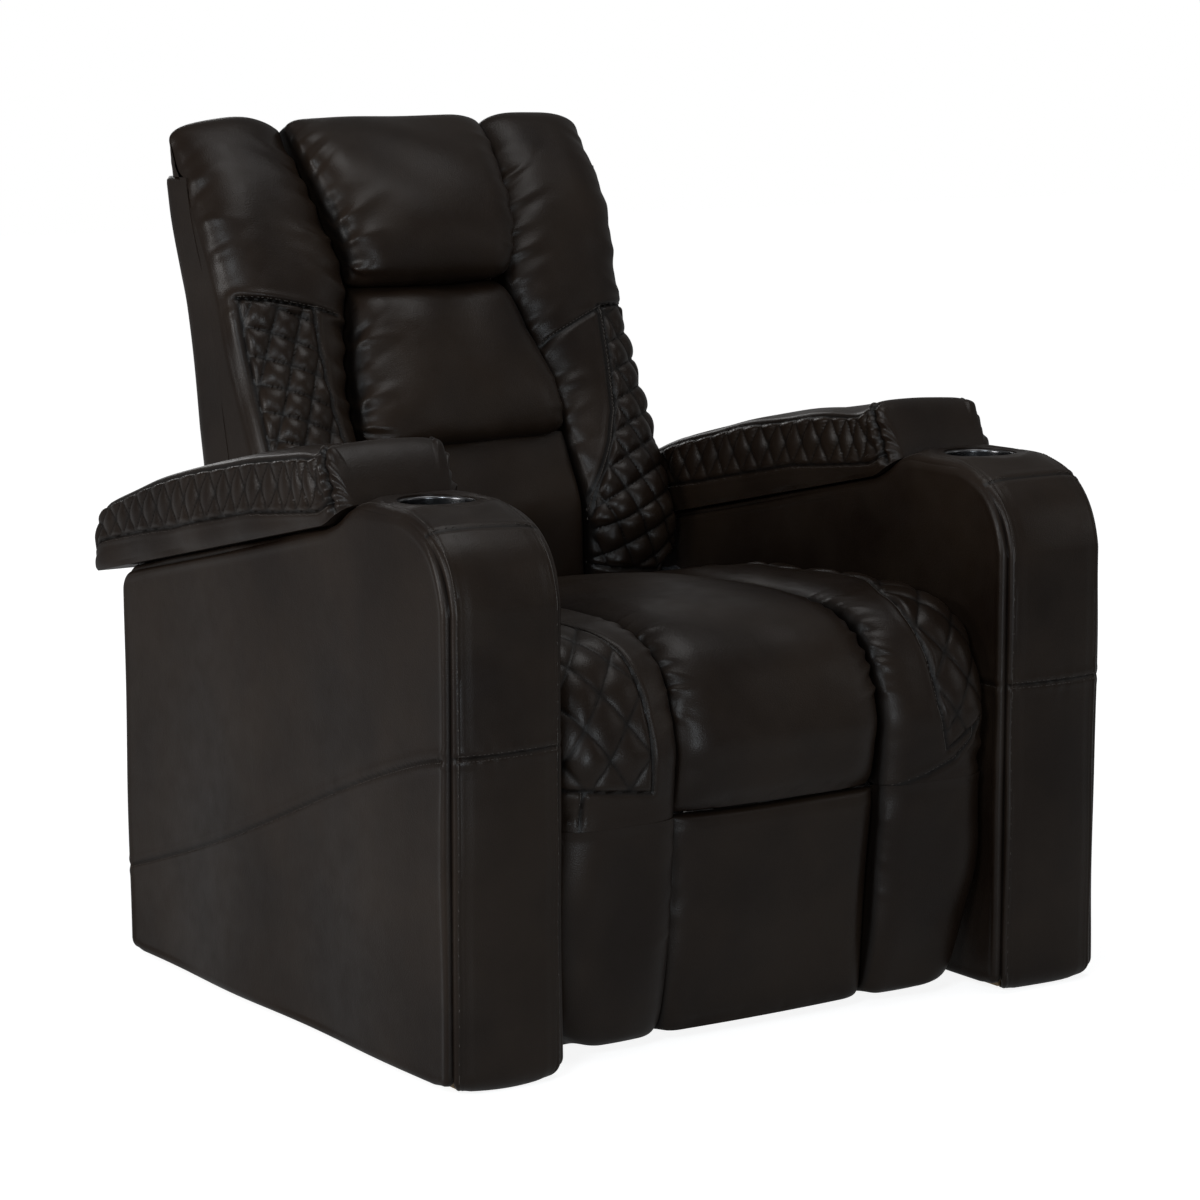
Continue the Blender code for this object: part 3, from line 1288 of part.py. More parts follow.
def add_torque_tube(chair):
    """The cross tube that the rear links are fixed to, with its drive crank."""
    reach = PLATE_OUTER_X + SIDE_PLATE_THICKNESS
    tube = rod_x(MAIN_PIVOT, TORQUE_TUBE_RADIUS, -reach, reach)
    tube = chair.add_mesh("torque_tube", tube, "rear_links", "steel")
    tip = (MAIN_PIVOT[0], MAIN_PIVOT[1] - CRANK_LENGTH)
    half = LINK_THICKNESS / 2
    crank = prism_x(link_outline(MAIN_PIVOT, tip, LINK_WIDTH / 2 - PANEL_EDGE_DEPTH / 2), -half, half)
    cut(tube, chair.add_mesh("crank_guide", crank, "rear_links", "steel"), "UNION")
    hole = rod_x(tip, LINK_PIN_RADIUS, -LINK_WIDTH, LINK_WIDTH)
    cut(tube, chair.add_mesh("crank_hole_cutter", hole, "rear_links", "steel"))


def add_links(chair, side, word):
    """Rear link, front link and footrest bracket of one side, stepped inwards."""
    half = LINK_WIDTH / 2
    rear_x = LINK_INNER_PLANE
    front_x = rear_x - LINK_THICKNESS - RUNNING_GAP
    bracket_x = front_x - LINK_THICKNESS - RUNNING_GAP

    outline = link_outline(MAIN_PIVOT, ELBOW_PIVOT, half)
    rear = prism_x(outline, side * rear_x, side * (rear_x + LINK_THICKNESS))
    rear = chair.add_mesh(word + "_rear_link", rear, "rear_links", "steel", smooth=False)
    hole = rod_x(MAIN_PIVOT, TORQUE_TUBE_RADIUS + TOUCH_GAP, side * (rear_x - CUT_OVERRUN),
                 side * (rear_x + LINK_THICKNESS + CUT_OVERRUN))
    cut(rear, chair.add_mesh(word + "_tube_hole_cutter", hole, "rear_links", "steel"))
    pin = rod_x(ELBOW_PIVOT, LINK_PIN_RADIUS, side * (front_x - SIDE_PLATE_THICKNESS),
                side * (rear_x + LINK_THICKNESS / 2))
    cut(rear, chair.add_mesh(word + "_elbow_pin_guide", pin, "rear_links", "steel"), "UNION")

    outline = link_outline(ELBOW_PIVOT, OTTOMAN_PIVOT, half)
    front = prism_x(outline, side * front_x, side * (front_x + LINK_THICKNESS))
    front = chair.add_mesh(word + "_front_link", front, "front_links", "steel", smooth=False)
    hole = rod_x(ELBOW_PIVOT, hole_radius(LINK_PIN_RADIUS), side * (front_x - CUT_OVERRUN),
                 side * (front_x + LINK_THICKNESS + CUT_OVERRUN))
    cut(front, chair.add_mesh(word + "_elbow_hole_cutter", hole, "front_links", "steel"))
    pin = rod_x(OTTOMAN_PIVOT, LINK_PIN_RADIUS, side * (bracket_x - SIDE_PLATE_THICKNESS),
                side * (front_x + LINK_THICKNESS / 2))
    cut(front, chair.add_mesh(word + "_ottoman_pin_guide", pin, "front_links", "steel"), "UNION")

    board = FOOT_PAD_BACK + 2 * TOUCH_GAP + FOOT_BOARD_THICKNESS
    pivot_y, pivot_z = OTTOMAN_PIVOT
    foot = BRACKET_FOOT
    head = FOOT_BOARD_TOP
    outline = [(board, foot)]
    steps = 5
    for k in range(steps + 1):
        angle = -math.pi / 4 + math.pi * 0.75 * k / steps
        outline.append((pivot_y + half * math.cos(angle), pivot_z + half * math.sin(angle)))
    outline.append((board, head))
    bracket = prism_x(outline, side * bracket_x, side * (bracket_x + LINK_THICKNESS))
    bracket = chair.add_mesh(word + "_footrest_bracket", bracket, "footrest", "steel", smooth=False)
    flange = block(side * (bracket_x - BRACKET_FLANGE), side * (bracket_x + LINK_THICKNESS / 2),
                   board, board + BRACKET_FLANGE_THICKNESS, foot, head)
    cut(bracket, chair.add_mesh(word + "_flange_guide", flange, "footrest", "steel"), "UNION")
    hole = rod_x(OTTOMAN_PIVOT, hole_radius(LINK_PIN_RADIUS), side * (bracket_x - CUT_OVERRUN),
                 side * (bracket_x + LINK_THICKNESS + CUT_OVERRUN))
    cut(bracket, chair.add_mesh(word + "_ottoman_hole_cutter", hole, "footrest", "steel"))


def add_foot_pads(chair):
    """Centre pad and two rounded bolsters of the footrest."""
    height = FOOT_TOP_HEIGHT - FOOT_FLOOR_GAP
    thickness = FOOT_PAD_BACK - FOOT_FRONT
    points = [
        (FOOT_FRONT + thickness * b, FOOT_FLOOR_GAP + height * a) for a, b in FOOT_PROFILE_SHARES
    ]
    count = 15
    path = smooth_path(points, count)
    foot = path[0][1]
    top_back = (FOOT_PAD_BACK, FOOT_BOARD_TOP + PANEL_EDGE_DEPTH)
    back = even_path([(FOOT_PAD_BACK, foot), top_back], count)
    half = CHANNEL_HALF_WIDTH
    stations = [(a, b * CUSHION_EDGE_DROP / 2) for a, b in CUSHION_CROWN_SHARES]

    def centre_x(share, _z):
        return (2 * share - 1) * half

    grid = crowned_grid(path, stations, centre_x, plain, "head")
    bm = cushion(grid, back, centre_x, (0, 1))
    chair.add_mesh("footrest_pad", bm, "footrest", "leather")

    inner = half + CHANNEL_GAP
    drop = BOLSTER_EDGE_DROP * FOOT_DROP_SHARE
    stations = [(a, max(b, 0.0) * drop) for a, b in BOLSTER_CROWN_SHARES]
    for side, word in ((1, "left"), (-1, "right")):
        def bolster_x(share, z, side=side):
            outer = SEAT_HALF_WIDTH * read_shares(FOOT_EDGE_SHARES, (z - foot) / height)
            return side * (inner + (outer - inner) * share)

        grid = crowned_grid(path, stations, bolster_x, plain, "head")
        bm = cushion(grid, back, bolster_x, (0, 1))
        chair.add_mesh(word + "_footrest_bolster", bm, "footrest", "leather")


def main():
    """Build the chair."""
    clear_scene()
    chair = Chair()
    add_arm(chair, 1, "left")
    add_arm(chair, -1, "right")
    add_base_frame(chair)
    add_carriage(chair)
    add_seat(chair)
    add_back(chair)
    add_footrest(chair)


main()
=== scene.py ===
"""Looks of a wall hugger recliner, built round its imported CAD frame.

Chair coordinates, in metres: x from the centre line (the sitter's left is +x),
y from the arms' front face towards the rear, z from the floor. The frame has
its origin under the middle of the chair, so each mesh is moved along y by one
shift as it is made.
"""
import logging
import math
from dataclasses import dataclass
from enum import Enum
from typing import Callable, Sequence

import bmesh
import bpy
import numpy as np
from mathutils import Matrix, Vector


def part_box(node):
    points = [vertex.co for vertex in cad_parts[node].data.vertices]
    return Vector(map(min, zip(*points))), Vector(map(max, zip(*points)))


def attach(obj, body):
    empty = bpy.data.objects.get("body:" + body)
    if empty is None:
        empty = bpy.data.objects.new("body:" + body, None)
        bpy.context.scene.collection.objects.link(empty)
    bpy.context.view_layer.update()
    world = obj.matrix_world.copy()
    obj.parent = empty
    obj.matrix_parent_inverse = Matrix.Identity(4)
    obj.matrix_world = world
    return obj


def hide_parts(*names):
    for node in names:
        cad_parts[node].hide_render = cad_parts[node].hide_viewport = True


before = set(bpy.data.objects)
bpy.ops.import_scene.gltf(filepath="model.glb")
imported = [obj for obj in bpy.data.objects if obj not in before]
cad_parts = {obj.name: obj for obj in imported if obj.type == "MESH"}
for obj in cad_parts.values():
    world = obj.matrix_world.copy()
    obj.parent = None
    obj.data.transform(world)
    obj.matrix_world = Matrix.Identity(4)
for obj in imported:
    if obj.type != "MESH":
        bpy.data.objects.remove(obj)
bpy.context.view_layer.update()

LOG = logging.getLogger("recliner")
SHIFT_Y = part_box("left_arm_band")[0][1]
SIDES = ((1, "left"), (-1, "right"))
ROUND = 96
PIECE_SHARP = math.radians(62.0)
BORED_SHARP = math.radians(50.0)
STITCH_PITCH = 0.0046
# Relief of hidden backs: painted shade from the leather's seam colour
HIDDEN_BACK_SHADE_RELIEF = -0.5
# Width of the painted shade along a seam's groove
SEAM_DARK = 0.003
PUFF_MIDDLE = 0.62
BORE_STICKS_OUT = 0.02
MERGE_DISTANCE = 1e-6
SHRUNK_EDGE = 1e-7

Table = Sequence[tuple[float, float]]
Height = Callable[[np.ndarray, np.ndarray], np.ndarray]


# Paths and sections

def even_steps(points: np.ndarray, count: int) -> np.ndarray:
    """Read a polyline at even steps of its length.

    Args:
        points: The polyline, one row a point.
        count: How many points to return.

    Returns:
        Points at equal distances along the polyline, ends included.
    """
    steps = np.linalg.norm(np.diff(points, axis=0), axis=1)
    lengths = np.concatenate(([0.0], np.cumsum(steps)))
    at = np.linspace(0.0, lengths[-1], count)
    return np.stack([np.interp(at, lengths, column) for column in points.T], axis=1)


def smooth_path(points: Sequence, count: int) -> np.ndarray:
    """Carry a smooth curve through points.

    On each span between points b and c, with neighbours a and d, the curve is
    the Catmull-Rom cubic: half of 2b + (c - a)t + (2a - 5b + 4c - d)t squared
    + (3b - a - 3c + d)t cubed.

    Args:
        points: The points to pass through.
        count: How many points to return.

    Returns:
        Points at equal distances along the curve.
    """
    given = np.asarray(points, float)
    ends = np.concatenate((given[:1], given, given[-1:]))
    t = np.linspace(0.0, 1.0, 24, endpoint=False)[None, :, None]
    a, b, c, d = (ends[k:len(ends) - 3 + k][:, None, :] for k in range(4))
    curve = 0.5 * (2 * b + (c - a) * t + (2 * a - 5 * b + 4 * c - d) * t ** 2
                   + (3 * b - a - 3 * c + d) * t ** 3)
    dense = np.concatenate((curve.reshape(-1, given.shape[1]), given[-1:]))
    return even_steps(dense, count)


def left_normals(path: np.ndarray) -> np.ndarray:
    """Unit normals to the left of a (y, z) path, at its points."""
    way = np.gradient(path, axis=0)
    way /= np.linalg.norm(way, axis=1, keepdims=True)
    return np.stack((-way[:, 1], way[:, 0]), axis=1)


def eased_ways(ways: np.ndarray, reach: int) -> np.ndarray:
    """Mean of the directions along a path over so many points on both sides.

    A tight turn then sinks by less, so that a rolled edge can't fold over.
    """
    count = 2 * reach + 1
    padded = np.pad(ways, ((reach, reach), (0, 0)), mode="edge")
    return np.stack([np.convolve(line, np.full(count, 1 / count), mode="valid")
                     for line in padded.T], axis=1)


def path_distance(path: np.ndarray) -> np.ndarray:
    """Distance along a path, at its points."""
    steps = np.linalg.norm(np.diff(path, axis=0), axis=1)
    return np.concatenate(([0.0], np.cumsum(steps)))


def bell(distance: np.ndarray, width: float) -> np.ndarray:
    """Bell curve: one at no distance, a third at the width, next to nothing at twice that."""
    return np.exp(-(distance / width) ** 2)


def ramp(distance: np.ndarray, width: float) -> np.ndarray:
    """Rise evenly from zero to one over a width, and stay there."""
    return np.clip(distance / width, 0.0, 1.0)


def smoothstep(share: np.ndarray) -> np.ndarray:
    """Ease a share between 0 and 1, level at both ends."""
    return share ** 2 * (3 - 2 * share)


def roll_drop(distance: np.ndarray, width: float, depth: float, power: float = 2.2) -> np.ndarray:
    """How far a padded face sinks towards a seam at its edge.

    With e the share of the roll's width still to go, the face lies at
    depth times (1 - (1 - e to the power) to the power's root): a quarter of
    a superellipse, upright at the seam and level where the roll ends.

    Args:
        distance: Distance from the edge.
        width: Width of the roll.
        depth: Depth at the edge.
        power: How square the roll is.

    Returns:
        The drop, zero beyond the roll.
    """
    e = np.clip(1.0 - np.clip(distance, 0.0, None) / width, 0.0, 1.0)
    return depth * (1.0 - (1.0 - e ** power) ** (1.0 / power))


def section(width: float, rolls: tuple[float, float], depths: tuple[float, float],
            crown: float, count: int) -> tuple[np.ndarray, np.ndarray]:
    """Cross section of a cushion, at even steps of its own length.

    Args:
        width: Width from side to side.
        rolls: Width of the roll on the first and the last side.
        depths: Depth of those rolls.
        crown: Extra rise of the middle over the sides.
        count: Number of stations.

    Returns:
        Shares of the width from 0 to 1, and the drop at each.
    """
    share = 0.5 - 0.5 * np.cos(np.linspace(0.0, math.pi, 1200))
    at = share * width
    drop = roll_drop(at, rolls[0], depths[0]) + roll_drop(width - at, rolls[1], depths[1])
    drop += crown * (2 * share - 1) ** 2
    line = even_steps(np.stack((at, drop), axis=1), count)
    return line[:, 0] / width, line[:, 1]


# Grids and meshes

def grid_normals(grid: np.ndarray, outward: np.ndarray) -> np.ndarray:
    """Unit normals of a grid of points, on the side that a direction faces.

    Args:
        grid: Points, shaped (across, along, 3).
        outward: A direction, or one for each point, roughly away from the piece.

    Returns:
        The cross product of the grid's two slopes, at length one.
    """
    normal = np.cross(np.gradient(grid, axis=0), np.gradient(grid, axis=1))
    normal /= np.maximum(np.linalg.norm(normal, axis=2, keepdims=True), 1e-12)
    return normal if np.sum(normal * outward) > 0 else -normal


def grid_quads(index: np.ndarray) -> np.ndarray:
    """Quads between the neighbours of a grid of vertex numbers."""
    return np.stack((index[:-1, :-1], index[1:, :-1], index[1:, 1:], index[:-1, 1:]),
                    axis=-1).reshape(-1, 4)


def rim(index: np.ndarray) -> np.ndarray:
    """The vertex numbers round a grid, in order."""
    return np.concatenate((index[:-1, 0], index[-1, :-1], index[:0:-1, -1], index[0, :0:-1]))


def closed_between(front: np.ndarray, back: np.ndarray,
                   rings: int = 0) -> tuple[np.ndarray, np.ndarray]:
    """Close two grids of equal shape into one skin.

    Args:
        front: The shown surface, shaped (across, along, 3).
        back: The surface behind it.
        rings: Rows of points on the wall between their rims.

    Returns:
        Points and quads: both grids and the wall between their rims, turned
        so that the enclosed volume is positive.
    """
    count = front.shape[0] * front.shape[1]
    first = np.arange(count).reshape(front.shape[:2])
    second = first + count
    a, b = rim(first), rim(second)
    points = np.concatenate((front.reshape(-1, 3), back.reshape(-1, 3)))
    share = (np.arange(1, rings + 1) / (rings + 1))[:, None, None]
    wall = points[a] + (points[b] - points[a]) * share
    between = 2 * count + np.arange(rings * len(a)).reshape(rings, len(a))
    loops = np.concatenate((a[None], between, b[None]))
    turned = np.roll(loops, -1, axis=1)
    band = np.stack((loops[:-1], loops[1:], turned[1:], turned[:-1]), axis=-1).reshape(-1, 4)
    quads = np.concatenate((grid_quads(first), grid_quads(second)[:, ::-1], band))
    points = np.concatenate((points, wall.reshape(-1, 3)))
    return points, quads[:, ::outward_turn(points, quads)]


def closed_over(front: np.ndarray, rear: np.ndarray) -> tuple[np.ndarray, list[np.ndarray]]:
    """Close a grid with a plain back, straight from its first row to its last.

    Args:
        front: The shown surface, shaped (across, along, 3).
        rear: Places behind its first and its last row, shaped (2, along, 3).

    Returns:
        Points, and faces that enclose a positive volume: the quads round
        the sections, and one flat face on each end.
    """
    count = front.shape[0] * front.shape[1]
    shown = np.arange(count).reshape(front.shape[:2])
    behind = count + np.arange(2 * front.shape[1]).reshape(2, -1)
    index = np.concatenate((shown, behind[::-1], shown[:1]))
    points = np.concatenate((front.reshape(-1, 3), rear.reshape(-1, 3)))
    caps = np.stack((index[-2::-1, 0], index[:-1, -1]))
    turn = outward_turn(points, grid_quads(index))
    return points, [grid_quads(index)[:, ::turn], caps[:, ::turn]]


def outward_turn(points: np.ndarray, quads: np.ndarray) -> int:
    """Tell whether a skin's faces look outwards (1) or have to be turned (-1)."""
    corner = points[quads] - points.mean(axis=0)
    volume = np.sum(corner[:, 0] * np.cross(corner[:, 1], corner[:, 2]))
    volume += np.sum(corner[:, 0] * np.cross(corner[:, 2], corner[:, 3]))
    return 1 if volume > 0 else -1


def make_mesh(name: str, points: np.ndarray, faces: Sequence[np.ndarray],
              material: bpy.types.Material, relief: np.ndarray | None = None) -> bpy.types.Object:
    """Put points and faces into a smooth mesh object at the origin.

    Args:
        name: The object's name.
        points: Points in chair coordinates.
        faces: Vertex numbers, one array for each number of corners.
        material: The finish.
        relief: A number per point that the finish reads: below zero in a
            seam or crease, where it lays painted shade, above zero on a puff,
            where it lays lighter flecks of wear and painted sheen.

    Returns:
        The new object, linked to the scene.
    """
    mesh = bpy.data.meshes.new(name)
    placed = points + np.array((0.0, SHIFT_Y, 0.0))
    mesh.vertices.add(len(placed))
    mesh.vertices.foreach_set("co", placed.astype(np.float32).ravel())
    loops = np.concatenate([each.ravel() for each in faces]).astype(np.int32)
    sizes = np.concatenate([np.full(len(each), each.shape[1]) for each in faces])
    mesh.loops.add(len(loops))
    mesh.loops.foreach_set("vertex_index", loops)
    mesh.polygons.add(len(sizes))
    mesh.polygons.foreach_set("loop_start", (np.cumsum(sizes) - sizes).astype(np.int32))
    mesh.update(calc_edges=True)
    mesh.shade_smooth()
    mesh.set_sharp_from_angle(angle=PIECE_SHARP)
    values = np.zeros(len(points)) if relief is None else relief
    field_layer = mesh.attributes.new("relief", "FLOAT", "POINT")
    field_layer.data.foreach_set("value", values.astype(np.float32))
    mesh.materials.append(material)
    item = bpy.data.objects.new(name, mesh)
    bpy.context.scene.collection.objects.link(item)
    return item


# Sewing

def seeded(name: str) -> np.random.Generator:
    """A random source that always starts the same for a name."""
    return np.random.default_rng(sum((k + 1) * ord(c) for k, c in enumerate(name)))


@dataclass(frozen=True)
class Gathers:
    """Puckers that run inwards from a seam where the leather was drawn up.

    Each pucker is a ridge or a furrow: height times a bell curve across it,
    fading with distance from the seam.
    """

    start: float
    end: float
    count: int
    height: float = 0.0022
    reach: float = 0.030
    width: float = 0.0055
    lean: float = 0.0

    def field(self, away: np.ndarray, along: np.ndarray, name: str) -> np.ndarray:
        """Heights of the puckers.

        Args:
            away: Distance from the seam.
            along: Place along the seam.
            name: Seeds the puckers' places and sizes.

        Returns:
            The sum, over the puckers, of height times exp(-(across/width)^2)
            times exp(-(away/reach)^1.5), where across runs along the seam and
            drifts with the pucker's own slant.
        """
        draw = seeded(name)
        spots = np.linspace(self.start, self.end, self.count)
        pitch = abs(self.end - self.start) / max(self.count - 1, 1)
        spots = spots + draw.uniform(-0.35, 0.35, self.count) * pitch
        size = self.height * draw.uniform(0.45, 1.25, self.count)
        size *= np.where(np.arange(self.count) % 2 == 0, 1.0, -0.75)
        reach = self.reach * draw.uniform(0.55, 1.30, self.count)
        width = self.width * draw.uniform(0.75, 1.35, self.count)
        slant = self.lean + draw.uniform(-0.35, 0.35, self.count)
        bend = draw.uniform(-4.0, 4.0, self.count)
        a, t = away[..., None], along[..., None]
        across = (t - spots - slant * a - bend * a ** 2) / (width * (1 + 9 * a))
        fade = np.exp(-np.clip(a, 0.0, None) ** 1.5 / reach ** 1.5)
        return np.sum(size * np.exp(-across ** 2) * fade, axis=-1)


# Where each row starts and ends along its seam, how many there are, how high and how
# far in they go, how wide they are, and their slant
GATHERS = {
    "seat_side": Gathers(0.13, 0.31, 15, 0.0032, 0.018, 0.0046, -0.4),
    "seat_bolster": Gathers(0.12, 0.32, 13, 0.0026, 0.020, 0.0050, -0.4),
    "seat_bolster_foot": Gathers(0.0, 0.035, 3, 0.0030, 0.026, 0.006),
    "headrest_right": Gathers(0.02, 0.36, 17, 0.0036, 0.036, 0.0070, 0.5),
    "headrest_left": Gathers(0.03, 0.30, 12, 0.0022, 0.024, 0.0060, 0.3),
    "lumbar_right": Gathers(0.03, 0.19, 10, 0.0034, 0.038, 0.0060, 0.1),
    "lumbar_left": Gathers(0.03, 0.19, 8, 0.0018, 0.020, 0.0060, 0.0),
    "lower_panel": Gathers(0.02, 0.16, 4, 0.0008, 0.02, 0.008),
    "headrest_foot": Gathers(0.02, 0.13, 5, 0.0030, 0.05, 0.010, 0.2),
    "bolster_head": Gathers(0.25, 0.62, 21, 0.0036, 0.034, 0.0070, 0.4),
    "bolster_low": Gathers(0.05, 0.30, 12, 0.0018, 0.020, 0.0070),
    "bolster_outer": Gathers(0.42, 0.66, 9, 0.0020, 0.028, 0.0080, 0.3),
    "footrest": Gathers(0.14, 0.25, 6, 0.0014, 0.020, 0.007),
    "arm_seam": Gathers(0.004, 0.100, 11, 0.0011, 0.013, 0.0060),
    "pad_nose": Gathers(0.004, 0.086, 9, 0.0030, 0.017, 0.0046),
}


def soft_waves(s: np.ndarray, t: np.ndarray, name: str, height: float = 0.0010,
               length: float = 0.11) -> np.ndarray:
    """Slow unevenness of stuffed leather: a few sine waves that cross at odd angles."""
    draw = seeded(name + "_waves")
    total = np.zeros_like(s)
    for turn, phase, stretch in draw.uniform((0, 0, 0.7), (math.pi, math.tau, 1.6), (5, 3)):
        way = s * math.cos(turn) + t * math.sin(turn)
        total += np.sin(math.tau * way / (length * stretch) + phase)
    return total * height / 2


def line_distance(s: np.ndarray, t: np.ndarray, line: Sequence) -> np.ndarray:
    """Distance from points (s, t) to an open line through given points."""
    pts = np.asarray(line, float)
    a, b = pts[:-1], pts[1:]
    span = b - a
    p = np.stack((s, t), axis=-1)[..., None, :]
    share = np.sum((p - a) * span, axis=-1) / np.sum(span * span, axis=-1)
    nearest = a + np.clip(share, 0.0, 1.0)[..., None] * span
    return np.min(np.linalg.norm(p - nearest, axis=-1), axis=-1)


def inside(s: np.ndarray, t: np.ndarray, ring: Sequence) -> np.ndarray:
    """Whether points (s, t) lie in a closed ring, by counting its crossings."""
    pts = np.asarray(ring, float)
    a, b = pts, np.roll(pts, -1, axis=0)
    t1, s1 = t[..., None], s[..., None]
    spans = (a[:, 1] > t1) != (b[:, 1] > t1)
    rise = np.where(b[:, 1] == a[:, 1], 1e-9, b[:, 1] - a[:, 1])
    cross = a[:, 0] + (b[:, 0] - a[:, 0]) * (t1 - a[:, 1]) / rise
    return np.sum(spans & (s1 < cross), axis=-1) % 2 == 1


def seam_groove(distance: np.ndarray, depth: float = 0.0030, width: float = 0.0028,
                puff: float = 0.0006) -> np.ndarray:
    """Height beside a sewn seam: a narrow groove with a low swell on each side."""
    near = bell(distance, width)
    swell = bell(distance - 3 * width, 1.6 * width)
    return puff * swell - depth * near


def sink_seam(height: np.ndarray, relief: np.ndarray, distance: np.ndarray, depth: float,
              width: float = 0.0022) -> None:
    """Sink a seam into the heights and paint shade into its groove through the relief, in place."""
    height += seam_groove(distance, depth, width)
    relief -= bell(distance, SEAM_DARK)


def diamond_puff(a: np.ndarray, b: np.ndarray, height: float, fullness: float = 0.45) -> np.ndarray:
    """Height of quilted padding: |sin(pi a) sin(pi b)| to a power, zero on each stitch line."""
    return height * np.abs(np.sin(math.pi * a) * np.sin(math.pi * b)) ** fullness


# Finishes

class Slot(Enum):
    """Material slots of the record."""

    LEATHER = "espresso_leather"
    WOOD = "frame_wood"
    BLACK_STEEL = "black_steel"
    ZINC = "zinc_steel"
    POLISHED = "polished_steel"
    PLASTIC = "black_plastic"
    NYLON = "grey_nylon"


def arithmetic(tree: bpy.types.NodeTree, operation: str,
               *values: "float | bpy.types.NodeSocket") -> bpy.types.NodeSocket:
    """Arithmetic on numbers and sockets, in a node tree."""
    node = tree.nodes.new("ShaderNodeMath")
    node.operation = operation
    for socket, value in zip(node.inputs, values):
        if isinstance(value, bpy.types.NodeSocket):
            tree.links.new(value, socket)
        else:
            socket.default_value = value
    return node.outputs["Value"]


class Finish:
    """A material's node tree, grown from its Principled shader backwards."""

    def __init__(self, name: str, roughness: float, metallic: float = 0.0,
                 specular: float = 0.5) -> None:
        """Start a material with the values that are the same all over it."""
        self.material = bpy.data.materials.new(name)
        self.material.use_nodes = True
        self.tree = self.material.node_tree
        self.shader = self.tree.nodes["Principled BSDF"]
        self.shader.inputs["Roughness"].default_value = roughness
        self.shader.inputs["Metallic"].default_value = metallic
        self.shader.inputs["Specular IOR Level"].default_value = specular
        self.place = self.tree.nodes.new("ShaderNodeTexCoord").outputs["Object"]

    def stretched(self, scale: tuple[float, float, float]) -> bpy.types.NodeSocket:
        """The place on the piece, stretched along the axes."""
        node = self.tree.nodes.new("ShaderNodeMapping")
        node.inputs["Scale"].default_value = scale
        self.tree.links.new(self.place, node.inputs["Vector"])
        return node.outputs["Vector"]

    def noise(self, scale: float, detail: float = 2.0,
              place: bpy.types.NodeSocket | None = None) -> bpy.types.NodeSocket:
        """Cloudy noise with a number of patches per metre."""
        node = self.tree.nodes.new("ShaderNodeTexNoise")
        node.inputs["Scale"].default_value = scale
        node.inputs["Detail"].default_value = detail
        self.tree.links.new(place or self.place, node.inputs["Vector"])
        return node.outputs["Fac"]

    def pebbles(self, scale: float) -> bpy.types.NodeSocket:
        """Distance to the nearest grain's middle, with a number of grains per metre."""
        node = self.tree.nodes.new("ShaderNodeTexVoronoi")
        node.feature = "SMOOTH_F1"
        node.inputs["Scale"].default_value = scale
        node.inputs["Smoothness"].default_value = 0.6
        self.tree.links.new(self.place, node.inputs["Vector"])
        return node.outputs["Distance"]

    def attribute(self, name: str) -> bpy.types.NodeSocket:
        """A number stored on the mesh's points."""
        node = self.tree.nodes.new("ShaderNodeAttribute")
        node.attribute_name = name
        return node.outputs["Fac"]

    def math(self, operation: str, *values: "float | bpy.types.NodeSocket") -> bpy.types.NodeSocket:
        """Arithmetic in this material."""
        return arithmetic(self.tree, operation, *values)

    def spread(self, value: bpy.types.NodeSocket, low: float, high: float,
               to_low: float, to_high: float) -> bpy.types.NodeSocket:
        """Carry a number from one range to another, and hold it there."""
        node = self.tree.nodes.new("ShaderNodeMapRange")
        for name, number in (("From Min", low), ("From Max", high),
                             ("To Min", to_low), ("To Max", to_high)):
            node.inputs[name].default_value = number
        self.tree.links.new(value, node.inputs["Value"])
        return node.outputs["Result"]

    def mix(self, share: bpy.types.NodeSocket, first: object,
            second: object) -> bpy.types.NodeSocket:
        """A colour between two colours or colour sockets."""
        node = self.tree.nodes.new("ShaderNodeMix")
        node.data_type = "RGBA"
        self.tree.links.new(share, node.inputs["Factor"])
        for socket, value in ((node.inputs[6], first), (node.inputs[7], second)):
            if isinstance(value, bpy.types.NodeSocket):
                self.tree.links.new(value, socket)
            else:
                socket.default_value = (*value, 1.0)
        return node.outputs[2]

    def paint(self, colour: bpy.types.NodeSocket,
              roughness: bpy.types.NodeSocket | None = None) -> None:
        """Give the shader its colour and, where it varies, its roughness."""
        self.tree.links.new(colour, self.shader.inputs["Base Color"])
        if roughness is not None:
            self.tree.links.new(roughness, self.shader.inputs["Roughness"])

    def emboss(self, height: bpy.types.NodeSocket, depth: float, strength: float) -> None:
        """Give the shader a bump of a real depth."""
        node = self.tree.nodes.new("ShaderNodeBump")
        node.inputs["Distance"].default_value = depth
        node.inputs["Strength"].default_value = strength
        self.tree.links.new(height, node.inputs["Height"])
        self.tree.links.new(node.outputs["Normal"], self.shader.inputs["Normal"])


